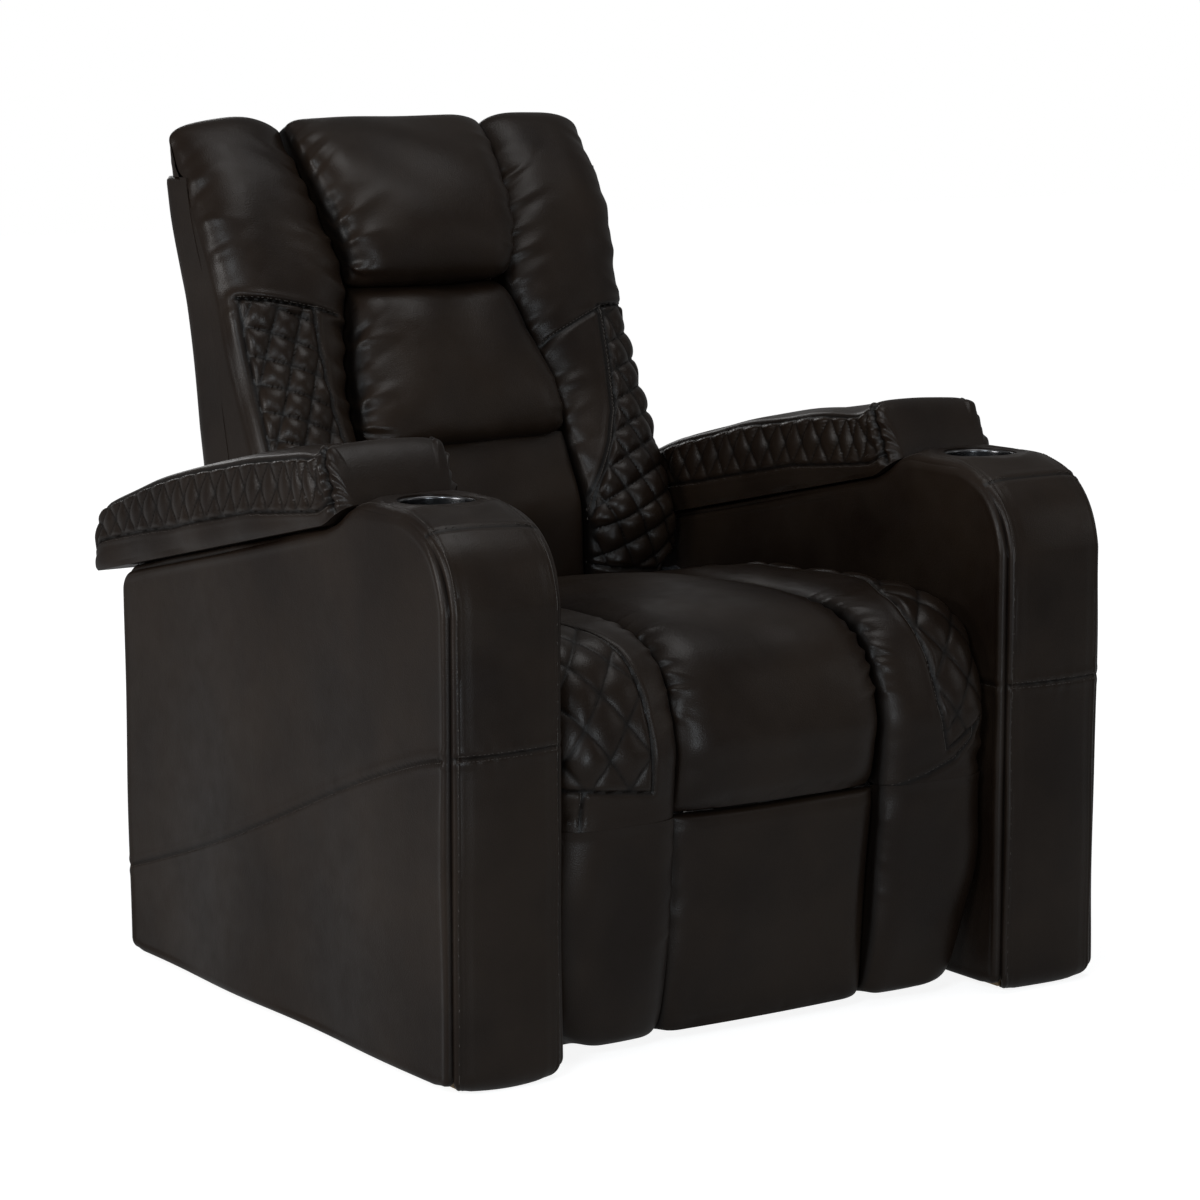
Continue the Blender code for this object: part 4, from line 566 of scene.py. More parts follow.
@dataclass(frozen=True)
class LeatherFinish:
    """Semi-gloss faux leather: fine pebble grain, painted shade in seams, creases and on hidden
    backs, lighter flecks of wear and painted sheen on puffs.
    """

    name: str = "espresso_leather_grain"
    dark: tuple[float, float, float] = (0.0090, 0.0050, 0.0031)
    light: tuple[float, float, float] = (0.0172, 0.0107, 0.0069)
    # seam: the painted shade colour, laid into seams, creases and hidden backs where the relief is
    # below zero
    seam: tuple[float, float, float] = (0.0030, 0.0020, 0.0015)
    # rubbed: lighter, greyer colour on raised puffs and welt swells, part wear and part painted
    # sheen
    rubbed_and_sheen: tuple[float, float, float] = (0.0220, 0.0170, 0.0135)
    roughness: float = 0.33
    specular: float = 0.20
    grains_per_metre: float = 620.0
    patches_per_metre: float = 7.0
    flecks_per_metre: float = 240.0
    clouds_per_metre: float = 34.0
    creases_per_metre: float = 90.0
    pores_per_metre: float = 1900.0
    bump_depth: float = 0.00045
    bump_strength: float = 0.30

    def build(self) -> bpy.types.Material:
        """Grow the node tree."""
        made = Finish(self.name, self.roughness, specular=self.specular)
        relief = made.attribute("relief")
        patches = made.spread(made.noise(self.patches_per_metre, 3.0), 0.35, 0.65, 0.0, 1.0)
        colour = made.mix(patches, self.dark, self.light)
        # Painted shade: the lower the relief, the more of the seam colour, in seam grooves, creases
        # and on hidden backs
        colour = made.mix(made.spread(relief, -1.0, -0.1, 1.0, 0.0), colour, self.seam)
        # Lighter flecks on the raised puffs and welt swells: wear and painted sheen together
        flecks = made.spread(made.noise(self.flecks_per_metre, 4.0), 0.52, 0.75, 0.0, 1.0)
        worn_and_sheen = made.math("MULTIPLY", made.spread(relief, 0.35, 1.0, 0.0, 1.0), flecks)
        colour = made.mix(worn_and_sheen, colour, self.rubbed_and_sheen)
        cloud = made.spread(made.noise(self.clouds_per_metre, 4.0), 0.3, 0.7, -0.05, 0.06)
        polish = made.spread(relief, -0.6, 0.9, 0.10, -0.05)
        rough = made.math("ADD", made.math("ADD", cloud, polish), self.roughness)
        made.paint(colour, rough)
        grain = made.pebbles(self.grains_per_metre)
        fine = made.math("MULTIPLY", made.noise(self.pores_per_metre, 2.0), 0.35)
        creases = made.math("MULTIPLY", made.noise(self.creases_per_metre, 5.0), 1.1)
        height = made.math("ADD", made.math("ADD", grain, fine), creases)
        made.emboss(height, self.bump_depth, self.bump_strength)
        return made.material


@dataclass(frozen=True)
class ThreadFinish:
    """Twisted brown sewing thread."""

    name: str = "brown_thread"
    dark: tuple[float, float, float] = (0.018, 0.013, 0.010)
    light: tuple[float, float, float] = (0.050, 0.038, 0.030)

    def build(self) -> bpy.types.Material:
        """Grow the node tree."""
        made = Finish(self.name, 0.55)
        twist = made.spread(made.noise(1500.0, 1.0), 0.4, 0.6, 0.0, 1.0)
        made.paint(made.mix(twist, self.dark, self.light))
        made.emboss(twist, 0.0002, 0.5)
        return made.material


@dataclass(frozen=True)
class HardFinish:
    """Wood, metal or plastic: two colours along a noise, and a bump from it."""

    name: str
    dark: tuple[float, float, float]
    light: tuple[float, float, float]
    roughness: tuple[float, float]
    metallic: float
    grain: tuple[float, float, float]
    scale: float
    depth: float

    def build(self) -> bpy.types.Material:
        """Grow the node tree."""
        made = Finish(self.name, self.roughness[0], self.metallic)
        grain = made.noise(self.scale, 4.0, made.stretched(self.grain))
        share = made.spread(grain, 0.35, 0.65, 0.0, 1.0)
        wear = made.spread(made.noise(14.0, 4.0), 0.35, 0.65, *self.roughness)
        made.paint(made.mix(share, self.dark, self.light), wear)
        made.emboss(made.math("ADD", grain, made.noise(self.scale * 6, 2.0)), self.depth, 0.35)
        return made.material


HARD_FINISHES = {
    Slot.WOOD: HardFinish("sawn_pine", (0.30, 0.19, 0.10), (0.52, 0.37, 0.21), (0.55, 0.75), 0.0,
                          (0.12, 1.0, 1.0), 60.0, 0.0006),
    Slot.BLACK_STEEL: HardFinish("black_enamel", (0.018, 0.018, 0.020), (0.032, 0.032, 0.034),
                                 (0.34, 0.52), 0.2, (1.0, 1.0, 1.0), 380.0, 0.0002),
    Slot.ZINC: HardFinish("zinc_plate", (0.42, 0.43, 0.44), (0.60, 0.61, 0.62), (0.28, 0.42), 0.9,
                          (1.0, 0.2, 1.0), 160.0, 0.0001),
    Slot.POLISHED: HardFinish("brushed_cup_steel", (0.10, 0.10, 0.105), (0.17, 0.17, 0.175),
                              (0.20, 0.30), 1.0, (1.0, 1.0, 12.0), 90.0, 0.00006),
    Slot.PLASTIC: HardFinish("moulded_black", (0.012, 0.012, 0.013), (0.020, 0.020, 0.021),
                             (0.38, 0.50), 0.0, (1.0, 1.0, 1.0), 900.0, 0.00015),
    Slot.NYLON: HardFinish("grey_nylon_block", (0.18, 0.18, 0.18), (0.25, 0.25, 0.25),
                           (0.45, 0.60), 0.0, (1.0, 1.0, 1.0), 500.0, 0.0001),
}


STAINED_PINE = HardFinish("stained_pine", (0.010, 0.007, 0.005), (0.020, 0.014, 0.010),
                          (0.60, 0.80), 0.0, (0.12, 1.0, 1.0), 60.0, 0.0006)


class Workshop:
    """The finishes, and how a finished piece joins the chair."""

    def __init__(self) -> None:
        """Make every finish once."""
        self.leather = LeatherFinish().build()
        self.thread = ThreadFinish().build()
        self.hard = {slot: finish.build() for slot, finish in HARD_FINISHES.items()}

    def place(self, item: bpy.types.Object, body: str, slot: Slot, replaces: str | None = None,
              fill: float | None = None) -> None:
        """Let a piece ride on a body and hide the CAD node that it stands for.

        Args:
            item: The finished piece.
            body: The body that carries it.
            slot: The record's material slot; not used.
            replaces: The CAD node that it stands for.
            fill: How full a padded piece is; not used.
        """
        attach(item, body)
        if replaces is not None:
            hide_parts(replaces)
        LOG.info("%s: %d faces on %s", item.name, len(item.data.polygons), body)

    def dress_frame(self) -> None:
        """Give each carried-over CAD node the finish of its slot."""
        names = {slot.value: slot for slot in self.hard}
        stained = STAINED_PINE.build()
        for name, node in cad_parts.items():
            for held in node.material_slots:
                base = held.material.name.split(".")[0] if held.material else ""
                if name == "back_frame":
                    held.material = stained
                elif base in names:
                    held.material = self.hard[names[base]]


# Seams

def stitches(line: np.ndarray, normal: np.ndarray, pitch: float = STITCH_PITCH,
             length: float = 0.0033, radius: float = 0.00042) -> tuple[np.ndarray, np.ndarray]:
    """A row of stitches along a line: each a spindle of three square rings.

    Args:
        line: The line, one row a point, in chair coordinates.
        normal: The surface's normal at those points.
        pitch: Distance from stitch to stitch.
        length: Length of a stitch.
        radius: Half its thickness.

    Returns:
        Points and quads of all the stitches.
    """
    count = max(int(path_distance(line)[-1] / pitch), 2)
    track = even_steps(np.concatenate((line, normal), axis=1), count)
    at, up = track[:, :3], track[:, 3:]
    way = np.gradient(at, axis=0)
    way /= np.linalg.norm(way, axis=1, keepdims=True)
    up = up - np.sum(up * way, axis=1, keepdims=True) * way
    up /= np.linalg.norm(up, axis=1, keepdims=True)
    side = np.cross(way, up)
    along = np.array((-0.5, -0.28, 0.28, 0.5)) * length
    size = np.array((0.25, 1.0, 1.0, 0.25)) * radius
    lift = np.array((-0.3, 0.7, 0.7, -0.3)) * radius
    angle = np.arange(4) * math.pi / 2
    ring_side, ring_up = np.cos(angle), np.sin(angle)
    points = (at[:, None, None] + way[:, None, None] * along[None, :, None, None]
              + up[:, None, None] * (lift[:, None] + size[:, None] * ring_up)[None, ..., None]
              + side[:, None, None] * (size[:, None] * ring_side)[None, ..., None])
    base = np.arange(16).reshape(4, 4)
    turned = np.roll(base, -1, axis=1)
    tube = np.stack((base[:-1], turned[:-1], turned[1:], base[1:]), axis=-1).reshape(-1, 4)
    quads = np.concatenate((tube, base[:1, ::-1], base[-1:]))
    if np.sum(np.cross(points[0, 1, 1] - points[0, 1, 0], points[0, 2, 0] - points[0, 1, 0])
              * (points[0, 1, 0] - at[0])) < 0:
        quads = quads[:, ::-1]
    every = quads[None] + 16 * np.arange(count)[:, None, None]
    return points.reshape(-1, 3), every.reshape(-1, 4)


class ThreadBasket:
    """Collects rows of stitches by body, and makes one piece of each body's."""

    def __init__(self) -> None:
        """Start empty."""
        self.rows: dict[str, list[tuple[np.ndarray, np.ndarray]]] = {}

    def sew(self, body: str, line: np.ndarray, normal: np.ndarray,
            pitch: float = STITCH_PITCH) -> None:
        """Add a row of stitches along a line on a surface."""
        if len(line) > 2:
            self.rows.setdefault(body, []).append(stitches(line, normal, pitch))

    def make(self, shop: Workshop) -> None:
        """Make each body's stitches into one piece."""
        for body, rows in self.rows.items():
            starts = np.cumsum([0] + [len(points) for points, _quads in rows])
            points = np.concatenate([row[0] for row in rows])
            quads = np.concatenate([row[1] + start for row, start in zip(rows, starts)])
            item = make_mesh(body + "_stitching", points, [quads], shop.thread)
            shop.place(item, body, Slot.LEATHER)


@dataclass
class Surface:
    """A cushion's shown surface on its own chart: s across and t along, in metres."""

    grid: np.ndarray
    normal: np.ndarray
    s: np.ndarray
    t: np.ndarray

    def raise_by(self, height: np.ndarray) -> None:
        """Move the points along their normals."""
        self.grid = self.grid + self.normal * height[..., None]

    def read(self, line: np.ndarray) -> tuple[np.ndarray, np.ndarray]:
        """Points and normals on the surface along a line of (s, t) places.

        The chart is even enough to look places up row by row: t gives a row
        number, s a share of the way across, and the four points round that
        place are mixed.
        """
        rows = np.interp(line[:, 1], self.t[0], np.arange(self.t.shape[1]))
        columns = np.interp(line[:, 0], np.sort(self.s[:, 0]), np.arange(self.s.shape[0]))
        j = np.clip(rows.astype(int), 0, self.t.shape[1] - 2)
        i = np.clip(columns.astype(int), 0, self.s.shape[0] - 2)
        v, u = (rows - j)[:, None], (columns - i)[:, None]

        def mixed(values: np.ndarray) -> np.ndarray:
            """Mix the four neighbours of each place."""
            return ((values[i, j] * (1 - u) + values[i + 1, j] * u) * (1 - v)
                    + (values[i, j + 1] * (1 - u) + values[i + 1, j + 1] * u) * v)

        return mixed(self.grid), mixed(self.normal)


# Cushions

SEWN_POINTS = 240
LINE_POINTS = 200
WALL_RINGS = 6
CLOTH = {"quality": 6, "mass": 0.35, "tension_stiffness": 30.0, "compression_stiffness": 30.0,
         "bending_stiffness": 1.2, "air_damping": 4.0, "use_pressure": True}
CLOTH_FRAMES = 20
CLOTH_STEP = 3


class Level(Enum):
    """Which end of a cushion keeps its height while its sides roll."""

    NEITHER = 0
    FOOT = 1
    HEAD = 2


@dataclass
class Loft:
    """A cushion: a (y, z) path carried across the chair, with rolled sides.

    The point at a share across and a place on the path is the path's point,
    sunk along the path's normal by the section's drop, at the x that the
    share has at that height.
    """

    path: np.ndarray
    back: np.ndarray
    x_at: Height
    width: float
    rolls: tuple[float, float] = (0.045, 0.045)
    depths: tuple[float, float] = (0.024, 0.024)
    crown: float = 0.003
    across: int = 110
    level: Level = Level.NEITHER
    ends: tuple[float, float] = (1.0, 1.0)
    end_reach: float = 0.06
    over_reach: float = 0.15
    closed_over: bool = False
    ease_points: int = 17
    tuck_up: float = 0.0
    tuck_from: float = 0.68
    tuck_over: float = 0.14
    tuck_reach: float = 0.08

    def lift(self, share: np.ndarray, t: np.ndarray) -> np.ndarray:
        """How far the foot's outer part is raised, clear of the mechanism's side plate."""
        outward = ramp(share - self.tuck_from, self.tuck_over)
        near = np.clip(1.0 - t / self.tuck_reach, 0.0, 1.0)
        return self.tuck_up * smoothstep(outward) * near ** 2

    def surface(self) -> Surface:
        """The shown surface, before its sewing."""
        share, drop = section(self.width, self.rolls, self.depths, self.crown, self.across)
        normals = left_normals(self.path)
        t = path_distance(self.path)
        upper = ramp(t / t[-1] - 0.3, 0.2)[:, None] * self.closed_over
        ways = normals + (eased_ways(normals, self.ease_points) - normals) * upper
        ny, nz = ways[:, 0], ways[:, 1]
        if self.level is Level.FOOT:
            nz = np.maximum(nz, 0.0)
        elif self.level is Level.HEAD:
            nz = np.minimum(nz, 0.0)
        last_reach = self.over_reach if self.closed_over else self.end_reach
        first = ramp(t, self.end_reach)
        last = ramp(t[-1] - t, last_reach)
        left = ((self.ends[0] + (1 - self.ends[0]) * smoothstep(first))
                * (self.ends[1] + (1 - self.ends[1]) * smoothstep(last)))
        sink = drop[:, None] * left[None, :]
        y = self.path[None, :, 0] - ny * sink
        z = self.path[None, :, 1] - nz * sink + self.lift(share[:, None], t[None, :])
        grid = np.stack((self.x_at(share[:, None], z), y, z), axis=2)
        outward = np.stack((np.zeros_like(ny), normals[:, 0], normals[:, 1]), axis=1)
        t = np.broadcast_to(t, y.shape)
        s = np.broadcast_to(share[:, None] * self.width, y.shape)
        return Surface(grid, grid_normals(grid, outward), s, t)

    def rear_grid(self, surface: Surface) -> np.ndarray:
        """The hidden back, with as many points as the shown surface.

        A back that has as many points as the path is taken as it is. Where the
        cushion closes over the shell, the part past its highest corner is drawn
        in, so that it ends just in front of the shown surface's last row.
        """
        count = surface.t.shape[1]
        back = self.back if len(self.back) == count else even_steps(self.back, count)
        share = surface.s[:, :1] / self.width
        y = np.broadcast_to(back[:, 0], surface.s.shape)
        z = back[:, 1] + self.lift(share, surface.t)
        if self.closed_over:
            corner, end = back[np.argmax(back[:, 1]), 0], back[-1, 0]
            past = np.clip((y - corner) / (end - corner), 0.0, 1.0)
            y = y + past * np.minimum(surface.grid[:, -1:, 1] - 0.001 - end, 0.0)
        return np.stack((self.x_at(share, z), y, z), axis=2)

    def edge_fade(self, surface: Surface, width: float = 0.006) -> np.ndarray:
        """One away from the cushion's rim, falling to zero at it."""
        side = np.minimum(surface.s, self.width - surface.s)
        end = np.minimum(surface.t, surface.t.max() - surface.t)
        return ramp(side, width) * np.clip(end / (2 * width), 0.0, 1.0)


def calmed(shift: np.ndarray, passes: int = 48, margin: int = 3) -> np.ndarray:
    """Ease the middle of a field of moves, so that creases stay near the seams.

    Args:
        shift: Moves of a grid of points, with nothing moved at the rim.
        passes: How often each inner point takes the mean of its four neighbours.
        margin: Rows beside the rim over which the eased field fades in.

    Returns:
        The eased field in the middle, the field as it was at the rim.
    """
    eased = shift.copy()
    for _ in range(passes):
        eased[1:-1, 1:-1] = 0.25 * (eased[:-2, 1:-1] + eased[2:, 1:-1]
                                    + eased[1:-1, :-2] + eased[1:-1, 2:])
    rows, columns = (np.minimum(np.arange(n), np.arange(n)[::-1]) for n in shift.shape[:2])
    share = np.clip(np.minimum.outer(rows, columns) / margin, 0.0, 1.0)[..., None]
    return shift + (eased - shift) * share


@dataclass(frozen=True)
class Stuffing:
    """How a cushion's face is blown up: pressure, furthest move, spare leather."""

    pressure: float = 3.0
    cap: float = 0.010
    slack: float = 0.004


def pressed(coarse: np.ndarray, normal: np.ndarray, name: str, stuffing: Stuffing) -> np.ndarray:
    """Simulate a grid as cloth that is pinned round its rim, under pressure.

    Args:
        coarse: The grid's points.
        normal: The way out at its first point.
        name: Name of the passing object.
        stuffing: Pressure and slack.

    Returns:
        How far each point has moved once the cloth has settled.
    """
    index = np.arange(coarse.shape[0] * coarse.shape[1]).reshape(coarse.shape[:2])
    quads = grid_quads(index)
    first = coarse.reshape(-1, 3)[quads[0]]
    if np.dot(np.cross(first[1] - first[0], first[2] - first[0]), normal) < 0:
        quads = quads[:, ::-1]
    mesh = bpy.data.meshes.new(name + "_cloth")
    mesh.from_pydata(coarse.reshape(-1, 3).tolist(), [], quads.tolist())
    item = bpy.data.objects.new(name + "_cloth", mesh)
    scene = bpy.context.scene
    scene.collection.objects.link(item)
    item.vertex_groups.new(name="seams").add(rim(index).tolist(), 1.0, "REPLACE")
    cloth = item.modifiers.new("cloth", "CLOTH")
    for field, value in CLOTH.items():
        setattr(cloth.settings, field, value)
    cloth.settings.uniform_pressure_force = stuffing.pressure
    cloth.settings.shrink_min = -stuffing.slack
    cloth.settings.vertex_group_mass = "seams"
    cloth.settings.effector_weights.gravity = 0.0
    cloth.collision_settings.use_collision = False
    cloth.point_cache.frame_start, cloth.point_cache.frame_end = 1, CLOTH_FRAMES
    for number in range(1, CLOTH_FRAMES + 1):
        scene.frame_set(number)
    held = item.evaluated_get(bpy.context.evaluated_depsgraph_get()).data
    moved = np.zeros(len(held.vertices) * 3, np.float32)
    held.vertices.foreach_get("co", moved)
    shift = moved.reshape(coarse.shape) - coarse
    bpy.data.objects.remove(item, do_unlink=True)
    scene.frame_set(1)
    return shift


def swell(surface: Surface, name: str, stuffing: Stuffing) -> None:
    """Stuff a cushion: blow its face up as cloth held at its seams.

    A coarse copy of the surface is simulated; the way each of its points
    moves, held to the cap, is read back on to the fine surface between its
    points.

    Args:
        surface: The shown surface, changed in place.
        name: The cushion's name.
        stuffing: How it is stuffed.
    """
    shape = surface.s.shape
    i, j = (np.unique(np.linspace(0, n - 1, max(n // CLOTH_STEP, 12)).astype(int)) for n in shape)
    shift = pressed(surface.grid[np.ix_(i, j)], surface.normal[i[0], j[0]], name, stuffing)
    far = np.linalg.norm(shift, axis=2, keepdims=True)
    shift = calmed(shift * np.minimum(1.0, stuffing.cap / np.maximum(far, 1e-9)))
    rows, columns = np.arange(shape[0]), np.arange(shape[1])
    wide = np.stack([
        np.stack([np.interp(rows, i, line) for line in layer.T], axis=1)
        for layer in np.moveaxis(shift, 2, 0)
    ])
    fine = np.stack([np.stack([np.interp(columns, j, line) for line in layer]) for layer in wide])
    surface.grid = surface.grid + np.moveaxis(fine, 0, 2)
    surface.normal = grid_normals(surface.grid, surface.normal)
    LOG.info("%s swelled by up to %.1f mm", name, 1000 * float(np.linalg.norm(fine, axis=0).max()))


class Upholstery:
    """Makes padded pieces out of lofts, and remembers their stitching."""

    def __init__(self, shop: Workshop, thread: ThreadBasket) -> None:
        """Keep the workshop and the thread."""
        self.workshop = shop
        self.thread = thread

    def finish(self, name: str, body: str, loft: Loft, surface: Surface, height: np.ndarray,
               relief: np.ndarray, fill: float) -> Surface:
        """Raise the sewing, close the cushion and place it.

        Args:
            name: The CAD node that it stands for.
            body: The body that carries it.
            loft: Its form.
            surface: Its shown surface.
            height: Heights of the sewing over that surface.
            relief: What the finish reads: painted shade below zero, lighter flecks of wear and
                painted sheen high above it.
            fill: How full it is.

        Returns:
            The surface with its sewing.
        """
        surface.raise_by(height * loft.edge_fade(surface))
        points, quads = closed_between(surface.grid, loft.rear_grid(surface), WALL_RINGS)
        edge = relief.ravel()[rim(np.arange(relief.size).reshape(relief.shape))]
        fade = 1.0 - (np.arange(1, WALL_RINGS + 1) / (WALL_RINGS + 1))[:, None]
        # The hidden back gets a little painted shade (relief -0.2); the wall carries the rim's
        # relief, painted shade included, fading towards the back.
        both = np.concatenate((relief.ravel(), np.full(relief.size, -0.2), (edge * fade).ravel()))
        item = make_mesh(name + "_leather", points, [quads], self.workshop.leather, both)
        self.workshop.place(item, body, Slot.LEATHER, name, fill)
        surface.normal = grid_normals(surface.grid, surface.normal)
        return surface

    def skin(self, name: str, points: np.ndarray, faces: Sequence[np.ndarray],
             relief: np.ndarray) -> bpy.types.Object:
        """Make a leather piece whose first points carry the relief and whose hidden rest gets
        painted shade.
        """
        shown = np.clip(relief, -1, 1).ravel()
        both = np.pad(shown, (0, len(points) - len(shown)), constant_values=HIDDEN_BACK_SHADE_RELIEF)
        return make_mesh(name + "_leather", points, faces, self.workshop.leather, both)

    def sew(self, body: str, surface: Surface, line: Sequence, pitch: float = STITCH_PITCH) -> None:
        """Sew a row of stitches along a line of (s, t) places on a surface."""
        places = even_steps(np.asarray(line, float), SEWN_POINTS)
        at, up = surface.read(places)
        self.thread.sew(body, at, up, pitch)


def beside(line: Sequence, distance: float) -> np.ndarray:
    """A line of (s, t) places moved to its left by a distance."""
    dense = even_steps(np.asarray(line, float), LINE_POINTS)
    return dense + left_normals(dense) * distance


def edge_relief(loft: Loft, surface: Surface, outer: float = 0.9) -> np.ndarray:
    """Painted shade in the creases at a cushion's sides."""
    return (-0.9 * bell(surface.s, 0.006)
            - outer * bell(loft.width - surface.s, 0.006))


@dataclass
class QuiltedPanel:
    """A quilted inset: its outline on the chart, and its diamonds."""

    ring: Sequence
    cell: tuple[float, float]
    height: float = 0.0052
    turn: float = 0.0
    square: bool = False
    fullness: float = 0.45

    def lattice(self, s: np.ndarray, t: np.ndarray) -> tuple[np.ndarray, np.ndarray]:
        """The two numbers that are whole on the two sets of stitch lines.

        Square cells are turned: (s cos + t sin) / cell and
        (t cos - s sin) / cell. Diamonds stand upright: s / width + t / height
        and s / width - t / height.
        """
        if self.square:
            c, k = math.cos(self.turn), math.sin(self.turn)
            return (s * c + t * k) / self.cell[0], (t * c - s * k) / self.cell[1]
        return s / self.cell[0] + t / self.cell[1], s / self.cell[0] - t / self.cell[1]

    def field(self, s: np.ndarray, t: np.ndarray, chart_s: np.ndarray,
              chart_t: np.ndarray) -> tuple[np.ndarray, np.ndarray]:
        """Height and relief of the quilting and of the seam round it.

        Args:
            s: Real distance outwards, for the diamonds.
            t: Real distance upwards, for the diamonds.
            chart_s: Place on the chart that the outline is drawn on.
            chart_t: Place on the chart that the outline is drawn on.

        Returns:
            Heights, and the relief for the finish.
        """
        ring = np.asarray(self.ring, float)
        closed = np.concatenate((ring, ring[:1]))
        away = line_distance(chart_s, chart_t, closed)
        within = inside(chart_s, chart_t, ring)
        a, b = self.lattice(s, t)
        puff = diamond_puff(a, b, 1.0, self.fullness)
        ease = ramp(away, 0.010) ** 0.5
        groove = seam_groove(away, 0.0034, 0.0026)
        height = np.where(within, self.height * (puff * ease - 0.55 * ease), 0.0) + groove
        # Relief for the finish: painted shade in the valleys between the diamonds and in the seam
        # round the panel, lighter flecks of wear and painted sheen on the puff tops
        relief = np.where(within, 1.9 * (puff - PUFF_MIDDLE) * ease, 0.0) - bell(away, SEAM_DARK)
        return height, np.clip(relief, -1.0, 1.0)


# The seat

@dataclass
class Seat:
    """Centre cushion and the two quilted bolsters beside it."""

    shop: Upholstery
    front: float = 0.011
    rear: float = 0.618
    top: float = 0.492
    fold: float = 0.2768
    bolster_fold: float = 0.2745
    half: float = 0.147
    gap: float = 0.0010
    half_width: float = 0.307
    base_height: float = 0.350
    roll_back: float = 0.100
    roll_foot: float = 0.288
    profile_foot: float = 0.278
    diamonds: tuple[float, float] = (0.056, 0.076)
    diamond_height: float = 0.0058
    profile: Table = ((0.035, 0.0), (0.015, 0.090), (0.005, 0.232), (0.0, 0.408), (0.040, 0.735),
                      (0.119, 0.934), (0.245, 1.0), (0.476, 0.980), (0.684, 0.940),
                      (0.935, 0.825), (1.0, 0.745))
    bolster_profile: Table = ((0.006, 0.0), (0.004, 0.090), (0.0, 0.232), (0.0, 0.408),
                              (0.040, 0.735), (0.119, 0.934), (0.245, 1.0), (0.476, 0.980),
                              (0.684, 0.940), (0.935, 0.825), (1.0, 0.745))

    def path(self, count: int, profile: Table, fold: float) -> np.ndarray:
        """From the fold over the front roll to the rear."""
        rows = np.asarray(profile)
        low = self.profile_foot
        points = np.stack((self.front + (self.rear - self.front) * rows[:, 0],
                           low + (self.top - low) * rows[:, 1]), axis=1)
        points[0, 1] = fold
        return smooth_path(points, count)

    def underside(self) -> np.ndarray:
        """Up behind the front roll, then back over the springs."""
        return np.array(((self.roll_back, self.roll_foot), (self.roll_back, self.base_height),
                         (self.rear, self.base_height)))

    def build(self) -> None:
        """Make the three pieces."""
        self.centre()
        for side, word in SIDES:
            self.bolster(side, word)

    def centre(self) -> None:
        """The smooth centre cushion, gathered where its sides go over the roll."""
        loft = Loft(self.path(290, self.profile, self.fold), self.underside(),
                    lambda a, z: (2 * a - 1) * self.half + 0 * z,
                    2 * self.half, (0.050, 0.050), (0.028, 0.028), 0.004, 118, Level.FOOT)
        surface = loft.surface()
        swell(surface, "seat_cushion", Stuffing(3.5, 0.012))
        height = soft_waves(surface.s, surface.t, "seat_cushion", 0.0010, 0.16)
        for word, away in (("left", surface.s), ("right", loft.width - surface.s)):
            height += GATHERS["seat_side"].field(away, surface.t, "seat_cushion_" + word)
        # Painted shade in the side creases and in the hollows of the gathers and waves
        relief = edge_relief(loft, surface) + 0.25 * np.clip(height / 0.003, -1, 1)
        self.shop.finish("seat_cushion", "carriage", loft, surface, height, relief, 0.75)

    def bolster(self, side: int, word: str) -> None:
        """A bolster with its quilted inset, which runs back beside the arm."""
        inner = self.half + self.gap
        width = self.half_width - inner
        loft = Loft(self.path(310, self.bolster_profile, self.bolster_fold), self.underside(),
                    lambda a, z: side * (inner + width * a) + 0 * z,
                    width, (0.045, 0.050), (0.019, 0.034), 0.002, 84, Level.FOOT)
        surface = loft.surface()
        name = word + "_seat_bolster"
        swell(surface, name, Stuffing(2.0, 0.005, 0.001))
        if side > 0:
            ring = ((.56, .038), (.465, .09), (.45, .15), (.40, .21), (.42, .26), (.62, .33),
                    (.66, .76), (1.02, .76), (1.02, .10), (.9, .07))
            cross = ((.02, -.004), (.10, 0.0), (.377, .009), (.64, .024), (.79, .048), (.855, .07))
        else:
            ring = ((.264, .036), (.27, .10), (.29, .15), (.34, .21), (.5, .27), (.62, .33),
                    (.66, .76), (1.02, .76), (1.02, .05), (.73, .045))
            cross = ((.84, .045), (.855, .0))
        chart = [(a * width, t) for a, t in ring]
        seam = [(a * width, t) for a, t in cross]
        panel = QuiltedPanel(chart, self.diamonds, self.diamond_height, fullness=0.40)
        height, relief = panel.field(surface.s + 0.012, surface.t - 0.004, surface.s, surface.t)
        height += soft_waves(surface.s, surface.t, name, 0.0012)
        sink_seam(height, relief, line_distance(surface.s, surface.t, seam), 0.0022)
        height += GATHERS["seat_bolster"].field(surface.s, surface.t, name)
        outer = loft.width - surface.s
        height += GATHERS["seat_bolster_foot"].field(outer, surface.t, name + "_low")
        relief = np.clip(relief + edge_relief(loft, surface), -1, 1)
        surface = self.shop.finish(name, "carriage", loft, surface, height, relief, 0.7)
        inset = np.asarray(chart)[:9 if side > 0 else 7]
        self.shop.sew("carriage", surface, beside(inset[:7], 0.0032))
        self.shop.sew("carriage", surface, beside(seam, 0.0026))


# The back

